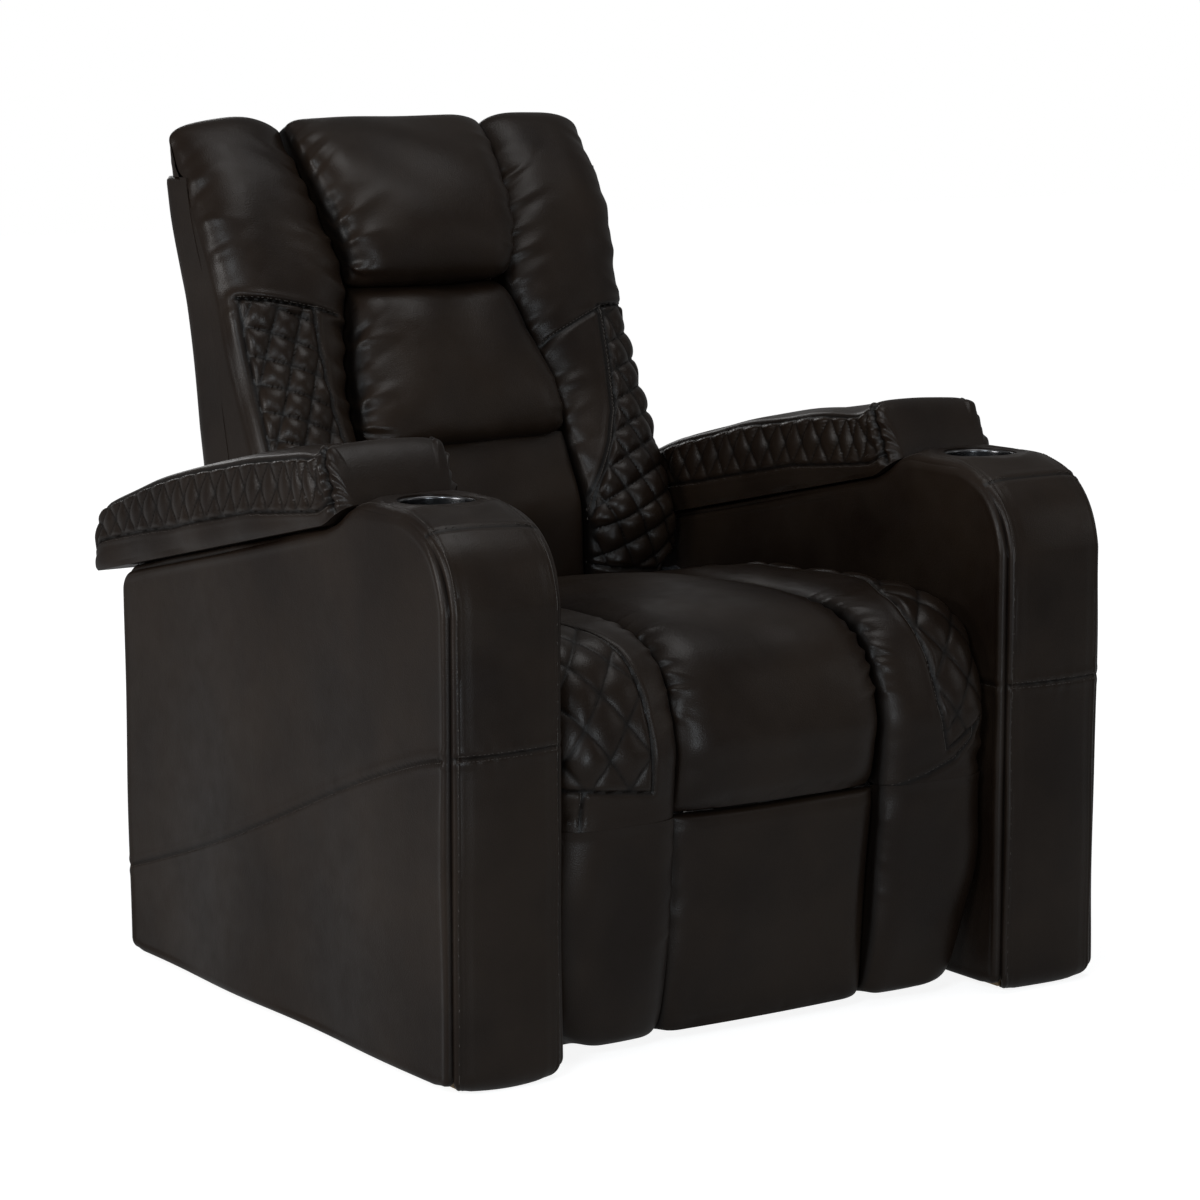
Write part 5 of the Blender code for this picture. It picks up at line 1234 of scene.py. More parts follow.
@dataclass
class Back:
    """Headrest, lumbar pillow, lower panel, two bolsters and the rear shell."""

    shop: Upholstery
    foot: float = 0.455
    top: float = 1.042
    hinge_y: float = 0.640
    rear_most: float = 0.950408
    half_width: float = 0.3035
    flare: float = 0.0085
    shell_foot: float = 0.400
    shell_top: float = 0.968
    flare_from: float = 0.80
    flare_over: float = 0.13
    rear_foot: float = 0.840
    rear_lean: float = math.radians(11.0)
    frame_depths: tuple[float, float] = (0.100, 0.072)
    over_gap: float = 0.0005
    turn_before: float = 0.012
    rear_gap: float = 0.004
    front_gap: float = 0.0015
    crease_gap: float = 0.0030
    crease_full: float = 0.163
    bolster_width: float = 0.150
    foot_tuck: float = 0.0325
    quilt_cell: float = 0.0345
    quilt_height: float = 0.0085
    quilt_turn: float = math.radians(24.0)
    creases: Table = ((0.0, 1.00), (0.20, 0.98), (0.32, 0.94), (0.43, 0.90), (0.54, 0.80),
                      (0.62, 0.74), (0.70, 0.76), (0.80, 0.84), (0.90, 0.90), (1.0, 0.92))
    bolster_front: Table = ((-0.053, 0.040), (0.0, 0.020), (0.070, 0.010), (0.138, 0.015),
                            (0.288, 0.156), (0.508, 0.367), (0.620, 0.443), (0.765, 0.547),
                            (0.885, 0.680), (0.970, 0.815), (0.998, 0.900), (0.985, 0.965),
                            (0.940, 0.995), (0.885, 1.0))
    headrest_front: Table = ((0.626, 0.600), (0.634, 0.480), (0.660, 0.420), (0.710, 0.412),
                             (0.770, 0.450), (0.850, 0.545), (0.925, 0.660), (0.975, 0.775),
                             (0.998, 0.890), (0.965, 0.980), (0.885, 1.0))
    lumbar_front: Table = ((0.286, 0.290), (0.296, 0.200), (0.330, 0.170), (0.400, 0.205),
                           (0.500, 0.305), (0.570, 0.372), (0.610, 0.425), (0.628, 0.500),
                           (0.632, 0.600))
    lower_front: Table = ((-0.053, 0.098), (0.0, 0.100), (0.150, 0.115), (0.300, 0.240))

    def rear_plane(self, z: np.ndarray) -> np.ndarray:
        """Depth of the rear face at a height."""
        return self.rear_foot + math.tan(self.rear_lean) * (z - self.shell_foot)

    def frame_plane(self, z: np.ndarray) -> np.ndarray:
        """Depth of the face behind the cushions at a height."""
        share = (z - self.foot) / (self.shell_top - self.foot)
        low, high = self.frame_depths
        return self.rear_plane(z) - low + (low - high) * share

    def half_at(self, z: np.ndarray) -> np.ndarray:
        """Half width of the back at a height: a little wider above the arms."""
        share = ramp(z - self.flare_from, self.flare_over)
        return self.half_width + self.flare * smoothstep(share)

    def crease(self, z: np.ndarray) -> np.ndarray:
        """Half width of the centre pieces at a height."""
        share = (z - self.foot) / (self.top - self.foot)
        wide = smooth_path(self.creases, 80)
        return self.crease_full * np.interp(share, wide[:, 0], wide[:, 1])

    def front_path(self, table: Table, count: int) -> np.ndarray:
        """A cushion's front, held short of the rear-most plane."""
        rows = np.asarray(table)
        points = np.stack((self.hinge_y + (self.rear_most - self.hinge_y) * rows[:, 1],
                           self.foot + (self.top - self.foot) * rows[:, 0]), axis=1)
        path = smooth_path(points, count)
        path[:, 0] = np.minimum(path[:, 0], self.rear_most - self.front_gap)
        return path

    def behind(self, path: np.ndarray, over: bool) -> np.ndarray:
        """The back of a cushion: up the frame and, where asked, over the shell."""
        low, high = path[0, 1], path[-1, 1]
        if not over:
            return np.array(((self.frame_plane(low), low), (self.frame_plane(high), high)))
        level = self.shell_top + self.over_gap
        turn = int(np.argmax(path[:, 1] > level - self.turn_before))
        corner = (self.frame_plane(level), level)
        rise = np.linspace((self.frame_plane(low), low), corner, turn, endpoint=False)
        end = (self.rear_most - self.rear_gap, level)
        return np.concatenate((rise, np.linspace(corner, end, len(path) - turn)))

    def build(self) -> None:
        """Make every piece of the back."""
        self.centre_pieces()
        for side, word in SIDES:
            self.bolster(side, word)
        self.shell()

    def centre_pieces(self) -> None:
        """Headrest, lumbar pillow and lower panel, between the creases."""
        rolls = {"headrest_pillow": (0.050, 0.030), "lumbar_pillow": (0.042, 0.024),
                 "lower_back_panel": (0.016, 0.008)}
        sewn = {
            "headrest_pillow": (GATHERS["headrest_right"], GATHERS["headrest_left"]),
            "lumbar_pillow": (GATHERS["lumbar_right"], GATHERS["lumbar_left"]),
            "lower_back_panel": (GATHERS["lower_panel"],) * 2,
        }
        for name, table, count, over, fill in (
            ("headrest_pillow", self.headrest_front, 170, True, 0.75),
            ("lumbar_pillow", self.lumbar_front, 100, False, 0.7),
            ("lower_back_panel", self.lower_front, 64, False, 0.4),
        ):
            path = self.front_path(table, count)
            width, depth = rolls[name]
            loft = Loft(path, self.behind(path, over), lambda a, z: (2 * a - 1) * self.crease(z),
                        0.29, (width, width), (depth, depth), 0.003, 112,
                        ends=(0.45, 0.40) if over else (1.0, 0.45), closed_over=over)
            surface = loft.surface()
            if fill > 0.5:
                swell(surface, name, Stuffing(3.0, 0.010 if over else 0.009))
            height = soft_waves(surface.s, surface.t, name, 0.0018, 0.13)
            for word, away, run in (("right", surface.s, sewn[name][0]),
                                    ("left", loft.width - surface.s, sewn[name][1])):
                height += run.field(away, surface.t, name + word)
            if over:
                height += GATHERS["headrest_foot"].field(surface.t, surface.s, name + "_foot")
            # Painted shade in the side creases and in the hollows of the gathers and waves
            relief = edge_relief(loft, surface) + 0.25 * np.clip(height / 0.003, -1, 1)
            self.shop.finish(name, "back", loft, surface, height, relief, fill)

    def chart_line(self, loft: Loft, points: Sequence) -> np.ndarray:
        """Turn (x, z) places on a bolster into places on its chart."""
        rows = np.asarray(points, float)
        rising = loft.path[:, 1]
        peak = int(np.argmax(rising))
        t = np.interp(rows[:, 1], rising[:peak + 1], path_distance(loft.path)[:peak + 1])
        inner = self.crease(rows[:, 1]) + self.crease_gap
        share = (np.abs(rows[:, 0]) - inner) / (self.half_at(rows[:, 1]) - inner)
        return np.stack((share * loft.width, t), axis=1)

    def bolster(self, side: int, word: str) -> None:
        """A side bolster: plain gathered head, quilted lower panel, plain side."""
        path = self.front_path(self.bolster_front, 330)

        def x_at(share: np.ndarray, z: np.ndarray) -> np.ndarray:
            """From the crease out to the shell's side."""
            inner = self.crease(z) + self.crease_gap
            return side * (inner + (self.half_at(z) - inner) * share)

        loft = Loft(path, self.behind(path, True), x_at, self.bolster_width, (0.052, 0.060),
                    (0.026, 0.034), 0.006, 86, ends=(1.0, 1.05), closed_over=True,
                    tuck_up=self.foot_tuck)
        surface = loft.surface()
        name = word + "_back_bolster"
        swell(surface, name, Stuffing(2.0, 0.005, 0.001))
        if side > 0:
            border = ((.2495, .787), (.248, .769), (.241, .717), (.230, .654), (.212, .617),
                      (.173, .557), (.161, .519), (.163, .455))
            ring = border + ((.320, .440), (.320, .797))
            head = ((.150, .745), (.158, .750), (.249, .786), (.320, .797))
        else:
            border = ((.189, .804), (.190, .740), (.189, .690), (.186, .643), (.172, .560),
                      (.164, .455))
            ring = border + ((.292, .440), (.290, .640), (.287, .824))
            head = ((.150, .795), (.189, .804), (.287, .824))
        chart = self.chart_line(loft, ring)
        panel = QuiltedPanel(chart, (self.quilt_cell, self.quilt_cell), self.quilt_height,
                             self.quilt_turn, True)
        height, relief = panel.field(np.abs(surface.grid[:, :, 0]) - 0.16, surface.t,
                                     surface.s, surface.t)
        lines = [self.chart_line(loft, head)]
        if side > 0:
            lines.append(self.chart_line(loft, border) - np.array((0.007, 0.0)))
        for line in lines:
            sink_seam(height, relief, line_distance(surface.s, surface.t, line), 0.0024)
        height += soft_waves(surface.s, surface.t, name, 0.0016, 0.12)
        height += GATHERS["bolster_head"].field(surface.s, surface.t, name)
        height += GATHERS["bolster_low"].field(surface.s, surface.t, name + "_low")
        height += GATHERS["bolster_outer"].field(loft.width - surface.s, surface.t, name + "_outer")
        relief = np.clip(relief + edge_relief(loft, surface, 0.15), -1, 1)
        surface = self.shop.finish(name, "back", loft, surface, height, relief, 0.7)
        for line in lines:
            self.shop.sew("back", surface, beside(line, 0.0026))
        self.shop.sew("back", surface, beside(self.chart_line(loft, border), -0.0032))

    def shell(self) -> None:
        """The rear shell: a U of leather over the wall, with a corner radius."""
        corner, wall, depth, rows, columns = 0.024, 0.012, 0.068, 120, 200
        z = np.linspace(self.shell_foot, self.shell_top, rows)
        lip = roll_drop(np.minimum(z - z[0], z[-1] - z), 0.010, 0.004)
        half = self.half_width
        angle = np.linspace(0.0, math.pi / 2, 24)
        turn = np.stack((half - corner + corner * np.cos(angle), corner * (np.sin(angle) - 1)), 1)
        arm = np.array(((half, -depth),))
        loop = np.concatenate((arm, turn, turn[::-1] * (-1, 1), arm * (-1, 1)))
        loop = even_steps(loop, columns)
        away = left_normals(loop)
        away *= np.sign(np.sum(away[:, 0] * loop[:, 0]))
        crown = 0.0015 * np.cos(loop[:, 0] / half * math.pi / 2)

        def skin(inset: float) -> np.ndarray:
            """The U at a distance inwards, at each height."""
            wide = self.half_at(z) / half
            x = (loop[:, None, 0] - away[:, None, 0] * (inset + lip[None, :])) * wide[None, :]
            deep = loop[:, None, 1] - away[:, None, 1] * (inset + lip[None, :])
            y = self.rear_plane(z)[None, :] + deep * (
                (self.rear_plane(z) - self.frame_plane(z)) / depth)[None, :]
            y = np.minimum(y + crown[:, None] * (inset == 0.0), self.rear_most - 0.0008)
            return np.stack((x, y, np.broadcast_to(z, x.shape)), axis=2)

        outer = skin(0.0)
        around = path_distance(loop)[:, None] + 0 * z[None, :]
        height = soft_waves(around, 0 * around + z, "back_shell", 0.0010, 0.2)
        relief = np.zeros_like(height)
        for spot in (depth + 0.004, path_distance(loop)[-1] - depth - 0.004):
            sink_seam(height, relief, np.abs(around - spot), 0.0020)
        sideways = np.stack((away[:, 0], away[:, 1], 0 * away[:, 0]), axis=1)
        outward = grid_normals(outer, sideways[:, None])
        outer = outer + outward * np.minimum(height, 0.0005)[..., None]
        points, quads = closed_between(outer, skin(wall))
        item = self.shop.skin("back_shell", points, [quads], relief)
        self.shop.workshop.place(item, "back", Slot.LEATHER, "back_shell", 0.2)


# The footrest

@dataclass
class Footrest:
    """Centre pad and two rounded bolsters that close the chair to the floor."""

    shop: Upholstery
    low: float = 0.012
    top: float = 0.2755
    front: float = 0.045
    rear: float = 0.085
    half: float = 0.147
    gap: float = 0.0010
    half_width: float = 0.307
    profile: Table = ((0.0, 0.330), (0.060, 0.180), (0.300, 0.060), (0.600, -0.100),
                      (0.860, -0.300), (0.935, -0.340), (0.978, -0.250), (0.985, 0.160),
                      (0.930, 0.520))
    bolster_profile: Table = ((0.0, 0.330), (0.040, 0.080), (0.150, -0.160), (0.350, -0.400),
                              (0.650, -0.580), (0.850, -0.690), (0.960, -0.745),
                              (0.9965, -0.765))
    edge: Table = ((0.0, 0.86), (0.08, 0.92), (0.25, 0.97), (0.50, 1.0), (1.0, 1.0))

    def build(self) -> None:
        """Make the three pieces."""
        paths = []
        for rows in (np.asarray(self.profile), np.asarray(self.bolster_profile)):
            points = np.stack((self.front + (self.rear - self.front) * rows[:, 1],
                               self.low + (self.top - self.low) * rows[:, 0]), axis=1)
            paths.append(smooth_path(points, 120))
        backs = (np.array(((self.rear, self.low), (self.rear, 0.242))),
                 np.array(((self.rear, self.low), (self.rear, 0.242), (self.front, 0.2735))))
        edge = smooth_path(self.edge, 60)

        def bolster_x(side: int) -> Height:
            """Outwards from the centre pad, narrower near the floor."""
            inner = self.half + self.gap

            def x_at(share: np.ndarray, z: np.ndarray) -> np.ndarray:
                """Place across at a share and a height."""
                shares = np.interp((z - self.low) / (self.top - self.low), edge[:, 0], edge[:, 1])
                return side * (inner + (self.half_width * shares - inner) * share)

            return x_at

        pieces = [("footrest_pad", lambda a, z: (2 * a - 1) * self.half + 0 * z, 2 * self.half,
                   (0.030, 0.030), (0.012, 0.012))]
        for side, word in SIDES:
            pieces.append((word + "_footrest_bolster", bolster_x(side), 0.159, (0.040, 0.050),
                           (0.015, 0.026)))
        for name, x_at, width, rolls, depths in pieces:
            own = int(name != "footrest_pad")
            loft = Loft(paths[own], backs[own], x_at, width, rolls, depths, 0.002, 84, Level.HEAD)
            surface = loft.surface()
            if name == "footrest_pad":
                swell(surface, name, Stuffing(1.5, 0.004, 0.001))
            height = soft_waves(surface.s, surface.t, name, 0.0022, 0.15)
            height += GATHERS["footrest"].field(surface.s, surface.t, name)
            self.shop.finish(name, "footrest", loft, surface, height,
                             edge_relief(loft, surface), 0.5)


# The arms

def rounded_path(corners: Sequence, radii: Sequence[float], step: float) -> np.ndarray:
    """A polyline whose corners are rounded, at even steps.

    Each inner corner is swapped for the quadratic curve between the two
    points that lie one tangent length before and after it.

    Args:
        corners: The corners in order.
        radii: Tangent length at each inner corner.
        step: Distance between the returned points.

    Returns:
        The rounded path.
    """
    pts = np.asarray(corners, float)
    t = np.linspace(0.0, 1.0, 22)[None, :, None]
    before, here, after = pts[:-2, None], pts[1:-1, None], pts[2:, None]
    reach = np.asarray(radii, float)[:, None, None]
    start = here + (before - here) * reach / np.linalg.norm(before - here, axis=2, keepdims=True)
    end = here + (after - here) * reach / np.linalg.norm(after - here, axis=2, keepdims=True)
    round_off = (1 - t) ** 2 * start + 2 * t * (1 - t) * (0.72 * here + 0.14 * (start + end)) \
        + t ** 2 * end
    line = np.concatenate((pts[:1], round_off.reshape(-1, 2), pts[-1:]))
    return even_steps(line, int(path_distance(line)[-1] / step))


@dataclass
class Arm:
    """One arm: band, side panels, quilted pad and cup."""

    shop: Upholstery
    side: int
    word: str
    inner: float = 0.3135
    outer: float = 0.4675
    height: float = 0.640
    depth: float = 0.775
    foot: float = 0.004
    corner: float = 0.0155
    welt_depth: float = 0.0052
    welt_width: float = 0.0034
    welt_dark: float = 0.0030
    welt_front: float = 0.014
    welt_ease: float = 0.035
    skin_gap: float = 0.0003
    band_thickness: float = 0.016
    outer_thickness: float = 0.020
    inner_thickness: float = 0.014
    panel_stations: int = 226
    cup_y: float = 0.145
    cup_radius: float = 0.044
    cup_depth: float = 0.070
    cup_gap: float = 0.001
    cup_seat: float = 0.0004
    cup_wall: float = 0.0014
    cup_lip: float = 0.0016
    flange: float = 0.054
    diagonal: Table = ((0.0, 0.382), (0.080, 0.363), (0.245, 0.305), (0.498, 0.204),
                       (0.770, 0.115))
    cross_seam: float = 0.381
    pad_start: float = 0.2140
    pad_end: float = 0.8325
    pad_width: float = 0.166
    pad_rise: float = 0.0925
    pad_lean: float = 0.046
    pad_lean_reach: float = 0.13
    pad_overhang: float = 0.008
    pad_around: int = 190
    pad_diamond: float = 0.037
    pad_puff: float = 0.0054
    pad_high: float = 0.935
    nose_seam: float = 0.014
    beside_welt: float = 0.040

    def outline(self) -> np.ndarray:
        """Up the front, over the top and down the rear, with rounded corners."""
        corners = ((0.024, self.foot), (0.0, self.foot), (0.0, self.height), (0.205, self.height),
                   (0.250, 0.609), (self.depth, 0.495), (self.depth, self.foot),
                   (self.depth - 0.024, self.foot))
        return rounded_path(corners, (0.018, 0.100, 0.020, 0.020, 0.024, 0.018), 0.0040)

    def build(self) -> None:
        """Make the arm's pieces."""
        self.band()
        self.panel("outer", self.outer, -self.outer_thickness)
        self.panel("inner", self.inner, self.inner_thickness)
        self.pad()
        self.cup()

    def welt(self, distance: np.ndarray, y: np.ndarray, z: np.ndarray) -> np.ndarray:
        """Height of the welt between band and panel: deep at the front, faint on top."""
        on_top = ramp(y - self.welt_front, self.welt_ease) * ramp(z - 0.54, 0.05)
        depth = self.welt_depth * (1.0 - 0.96 * on_top)
        sink = -depth * bell(distance, self.welt_width)
        return sink + 0.22 * depth * bell(distance - 0.0095, 0.0045)

    def welt_relief(self, distance: np.ndarray, y: np.ndarray, z: np.ndarray, rise: float,
                    place: float) -> np.ndarray:
        """What the finish reads beside the welt: painted shade in it, lighter flecks of wear and
        painted sheen where it swells.
        """
        relief = rise * bell(distance - place, place / 2) - bell(distance, self.welt_dark)
        return relief * (1.0 - 0.95 * ramp(y - self.welt_front, self.welt_ease) * (z > 0.55))

    def across_band(self, count: int = 16) -> tuple[np.ndarray, np.ndarray, np.ndarray]:
        """The band's cross section: an eighth of a turn at each corner, a crown between.

        Returns:
            Distance from the outer plane, inset, and distance from the nearer seam.
        """
        radius, width = self.corner, self.outer - self.inner
        angle = np.linspace(math.pi / 4, 0.0, count)
        edge, inset = radius * (1 - np.sin(angle)), radius * (1 - np.cos(angle))
        flat = np.linspace(radius, width - radius, 58)[1:-1]
        crown = -0.0052 * (1 - (2 * flat / width - 1) ** 2) * np.clip(
            np.minimum(flat, width - flat) / 0.03, 0.0, 1.0)
        across = np.concatenate((edge, flat, width - edge[::-1]))
        drop = np.concatenate((inset, crown, inset[::-1]))
        walked = path_distance(np.stack((across, drop), axis=1))
        return across, drop, np.minimum(walked, walked[-1] - walked)

    def band(self) -> None:
        """The padded band over front, top and rear, bored for the cup."""
        path = self.outline()
        across, drop, from_seam = self.across_band()
        normals = left_normals(path)
        width = self.outer - self.inner
        low = np.clip(1.0 - (path[:, 1] - self.foot) / 0.016, 0.0, 1.0)
        pinch = 1.0 - 0.16 * (1.0 - np.sqrt(1.0 - low ** 2))
        centre = (self.outer + self.inner) / 2
        x = self.side * (centre + (width / 2 - across)[:, None] * pinch[None, :])
        t = path_distance(path)[None, :] + 0 * x
        s = from_seam[:, None] + 0 * x

        def layer(inset: np.ndarray | float) -> np.ndarray:
            """The band's surface at an inset."""
            return np.stack((x, path[None, :, 0] - normals[None, :, 0] * inset + 0 * x,
                             path[None, :, 1] - normals[None, :, 1] * inset + 0 * x), axis=2)

        grid = layer(drop[:, None] + self.skin_gap)
        outward = np.stack((0 * normals[:, 0], normals[:, 0], normals[:, 1]), axis=1)
        chart_s = across[:, None] + 0 * x
        surface = Surface(grid, grid_normals(grid, outward), chart_s, t)
        rising = int(np.argmax(path[:, 1] > self.height - 0.1))
        seam_t = float(np.interp(self.cross_seam, path[:rising, 1], t[0, :rising]))
        top_t = float(t[0, np.argmin(np.abs(path[:, 0] - 0.050) + (path[:, 1] < 0.55))])
        name = self.word + "_arm_band"
        height = soft_waves(chart_s, t, name, 0.0013, 0.17)
        relief = self.welt_relief(s, grid[:, :, 1], grid[:, :, 2], 0.45, 0.012)
        for at, deep in ((seam_t, 0.0020), (top_t, 0.0013)):
            height += seam_groove(np.abs(t - at), deep, 0.0020, 0.0009)
            # Painted shade along the cross seam and the top seam
            relief -= 0.9 * bell(t - at, 0.0024)
        for word, away in (("below", t - seam_t), ("above", seam_t - t)):
            pucker = GATHERS["arm_seam"].field(
                np.abs(away), chart_s if self.side < 0 else width - chart_s, name + word)
            height += np.where(away > 0, pucker, 0.0)
        rho = np.hypot(np.abs(x) - centre, grid[:, :, 1] - self.cup_y)
        above = grid[:, :, 2] > self.height - 0.03
        height *= np.where(above, ramp(rho - self.flange, 0.02), 1.0)
        height *= ramp(s, 0.005)
        puff = ramp(rho - self.flange - 0.0008, 0.005) * np.exp(
            -(np.maximum(rho - 0.062, 0.0) / 0.014) ** 2)
        height += np.where(above, 0.0030 * puff, 0.0)
        surface.raise_by(height + self.welt(s, grid[:, :, 1], grid[:, :, 2]))
        points, faces = closed_over(surface.grid, layer(self.band_thickness)[[0, -1]])
        item = self.shop.skin(name, points, faces, relief)
        bore(item, (self.side * centre, self.cup_y, self.height), self.cup_radius + self.cup_gap,
             self.cup_depth + self.band_thickness)
        self.shop.workshop.place(item, "base", Slot.LEATHER, name, 0.3)
        surface.normal = grid_normals(surface.grid, surface.normal)
        ends = (0.014, width - 0.014)
        for at, shift in ((seam_t, 0.0034), (seam_t, -0.0034), (top_t, 0.003)):
            self.shop.sew("base", surface, [(ends[0], at + shift), (ends[1], at + shift)])
        for place in (0.0125, width - 0.0125):
            self.shop.sew("base", surface, [(place, 0.03), (place, float(t[0, -1]) - 0.03)], 0.006)

    def panel(self, word: str, x_face: float, back: float) -> None:
        """A padded side panel, with its diagonal seam on the outer side.

        A point's y runs from front to rear and its z from the outline's
        bottom to its top; the face turns an eighth of a round near the
        outline, where the band takes over.
        """
        radius = self.corner
        path = self.outline()
        path = path - left_normals(path) * radius * (1 - math.sqrt(0.5))
        ease = np.linspace(0.0, 1.0, self.panel_stations)
        u = 0.42 * ease + 0.58 * (0.5 - 0.5 * np.cos(math.pi * ease))
        front, rear = path[:, 0].min() + self.skin_gap, path[:, 0].max() - self.skin_gap
        y = front + (rear - front) * u
        first, last = int(np.argmin(path[:, 0])), int(np.argmax(path[:, 0]))
        order = np.argsort(path[first:last + 1, 0], kind="stable")
        top = np.interp(y, path[first:last + 1, 0][order], path[first:last + 1, 1][order])
        low_front, low_rear = path[:first + 1][::-1], path[last:][::-1]
        bottom = np.where(y < 0.024, np.interp(y, low_front[:, 0], low_front[:, 1]),
                          np.interp(y, low_rear[:, 0], low_rear[:, 1]))
        middle = (y > 0.02) & (y < self.depth - 0.02)
        lift = np.clip(np.minimum(y - 0.02, self.depth - 0.02 - y) / 0.02, 0.0, 1.0)
        base_z = path[0, 1]
        bottom = np.where(middle, base_z - 0.0022 * smoothstep(lift), bottom)
        yy = y[:, None] + 0 * u[None, :]
        zz = bottom[:, None] + (top - bottom)[:, None] * u[None, :]
        under = np.stack((y[middle][::-1], bottom[middle][::-1]), axis=1)
        ring = np.concatenate((path, under, path[:1]))
        away = line_distance(yy, zz, ring)
        way = 1.0 if word == "outer" else -1.0
        reach = np.clip(radius * math.sqrt(0.5) - away, 0.0, None)
        drop = radius - np.sqrt(radius ** 2 - reach ** 2) + self.skin_gap
        name = f"{self.word}_arm_{word}_panel"
        height = soft_waves(yy, zz, name, 0.0022, 0.26)
        seam = np.asarray(self.diagonal) if word == "outer" else np.array(
            ((0.0, self.cross_seam), (self.depth, self.cross_seam)))
        seam = smooth_path(seam, 60)
        near = line_distance(yy, zz, seam)
        height += seam_groove(near, 0.0019, 0.0024, 0.0011)
        height *= ramp(away, 0.014)
        puff = 0.0012 * (1 - bell(away, 0.09)) if word == "outer" else 0.0
        x = self.side * (x_face + way * (puff - drop))
        grid = np.stack((x, yy, zz), axis=2)
        surface = Surface(grid, grid_normals(grid, np.array((self.side * way, 0.0, 0.0))), yy, zz)
        walked = away + reach * 0.12
        surface.raise_by(height + self.welt(walked, yy, zz))
        relief = self.welt_relief(walked, yy, zz, 0.5, 0.010)
        # Painted shade along the diagonal seam
        relief -= 0.9 * bell(near, 0.0024) * ramp(away, 0.010)
        behind = grid[:, [0, -1]].transpose(1, 0, 2)
        shrink = np.array(((front + rear) / 2, 0.32))
        behind[:, :, 1:] += (shrink - behind[:, :, 1:]) * 0.02
        behind[:, :, 0] = self.side * (x_face + back)
        points, faces = closed_over(surface.grid.transpose(1, 0, 2), behind)
        item = self.shop.skin(name, points, faces, relief.T)
        self.shop.workshop.place(item, "base", Slot.LEATHER, name, 0.25)
        normal = grid_normals(surface.grid, surface.normal)
        line = beside(seam, -0.0030)
        line = line[(line[:, 0] > 0.014) & (line[:, 0] < self.depth - 0.014)]
        i = np.interp(line[:, 0], y, np.arange(len(y)))
        share = (line[:, 1] - np.interp(line[:, 0], y, bottom)) / np.interp(line[:, 0], y,
                                                                            top - bottom)
        j = np.interp(share, u, np.arange(len(u)))
        i, j = np.round(i).astype(int), np.round(j).astype(int)
        at = np.stack((surface.grid[i, j, 0], line[:, 0], line[:, 1]), axis=1)
        self.shop.thread.sew("base", at, normal[i, j])

    def pad_stations(self) -> tuple[np.ndarray, np.ndarray, np.ndarray]:
        """Places along the pad: how deep each lies, its foot's height and its rise."""
        ends = np.linspace(0.0, 1.0, 26) ** 2
        along = np.concatenate((0.045 * ends, np.linspace(0.045, 0.955, 210)[1:-1],
                                1.0 - 0.045 * ends[::-1]))
        y = self.pad_start + (self.pad_end - self.pad_start) * along
        foot = np.interp(y, (0.205, 0.250, self.depth), (self.height, 0.609, 0.495))
        past = y > self.depth
        foot[past] = 0.495 - (y[past] - self.depth) * 0.217
        smooth = np.convolve(np.pad(foot, 3, "edge"), np.ones(7) / 7, "valid")
        body = smooth_path(((0.0, 0.78), (0.10, 0.88), (0.22, 1.00), (0.40, 1.08), (0.58, 1.10),
                            (0.74, 1.05), (0.90, 0.93), (1.0, 0.84)), 120)
        rise = np.interp(along, body[:, 0], body[:, 1])
        nose = roll_drop(y - y[0], 0.024, 0.985, 2.9)
        tail = roll_drop(y[-1] - y, 0.040, 0.70, 2.3)
        return y, smooth + 0.0006, self.pad_rise * rise * np.clip(1.0 - nose - tail, 0.015, None)

    def pad(self) -> None:
        """The quilted arm rest: sections of one shape carried along its length.

        A section runs from the outer foot over the top to the inner foot; its
        height follows the length. The nose is upright and leans back.
        """
        y, foot, rise = self.pad_stations()
        outer_x = self.outer + self.pad_overhang
        around = smooth_path(((0.0, 0.0), (-0.014, 0.10), (-0.018, 0.24), (-0.008, 0.36),
                              (-0.010, 0.62), (-0.002, 0.82), (0.020, 0.925), (0.075, 0.985),
                              (0.20, 1.025), (0.50, 1.05), (0.80, 1.025), (0.925, 0.985),
                              (0.980, 0.925), (1.002, 0.82), (1.010, 0.62), (1.008, 0.36),
                              (1.018, 0.24), (1.014, 0.10), (1.0, 0.0)), self.pad_around)
        squeeze = (1.0 - 0.26 * roll_drop(y - y[0], 0.040, 1.0, 2.4)
                   - 0.10 * roll_drop(y[-1] - y, 0.030, 1.0))
        across = 0.5 + (around[:, None, 0] - 0.5) * squeeze[None, :]
        up = around[:, None, 1] * rise[None, :]
        x = self.side * (outer_x - self.pad_width * across)
        distance = y[None, :] - y[0] + 0 * x
        full = self.pad_rise * around[:, None, 1] + 0 * x
        back = ramp(distance, self.pad_lean_reach)
        lean = self.pad_lean * np.clip(up / self.pad_rise, 0, 1.1) * (1 - smoothstep(back))
        grid = np.stack((x, y[None, :] + lean, foot[None, :] + up), axis=2)
        outward = grid - np.array((self.side * (outer_x - self.pad_width / 2), 0.0, 0.0))
        outward[:, :, 1] = 0.0
        outward[:, :, 2] -= foot[None, :] + 0.3 * rise
        normal = grid_normals(grid, outward)
        share = around[:, None, 1] + 0 * x
        on_side = (np.abs(around[:, None, 0] - 0.5) > 0.42) & (share < 0.99) & (share > 0.0)
        outer_half = around[:, None, 0] < 0.5
        low = np.interp(y, (0.22, 0.42, 0.62, 0.82), (0.17, 0.33, 0.34, 0.46))[None, :] + 0 * x
        name = self.word + "_arm_pad"
        height, relief = self.pad_quilt(share, distance, low, on_side)
        for word, pick in (("outer", outer_half), ("inner", ~outer_half)):
            pucker = GATHERS["pad_nose"].field(np.abs(distance - self.nose_seam), full, name + word)
            height += np.where(on_side & pick, pucker, 0.0)
        height += soft_waves(np.arange(self.pad_around)[:, None] * 0.002 + 0 * x, distance, name,
                             0.0014, 0.14)
        height *= np.clip(share * self.pad_rise / 0.006, 0.0, 1.0)
        height *= ramp(distance, 0.006) * ramp(y[-1] - y, 0.008)[None, :]
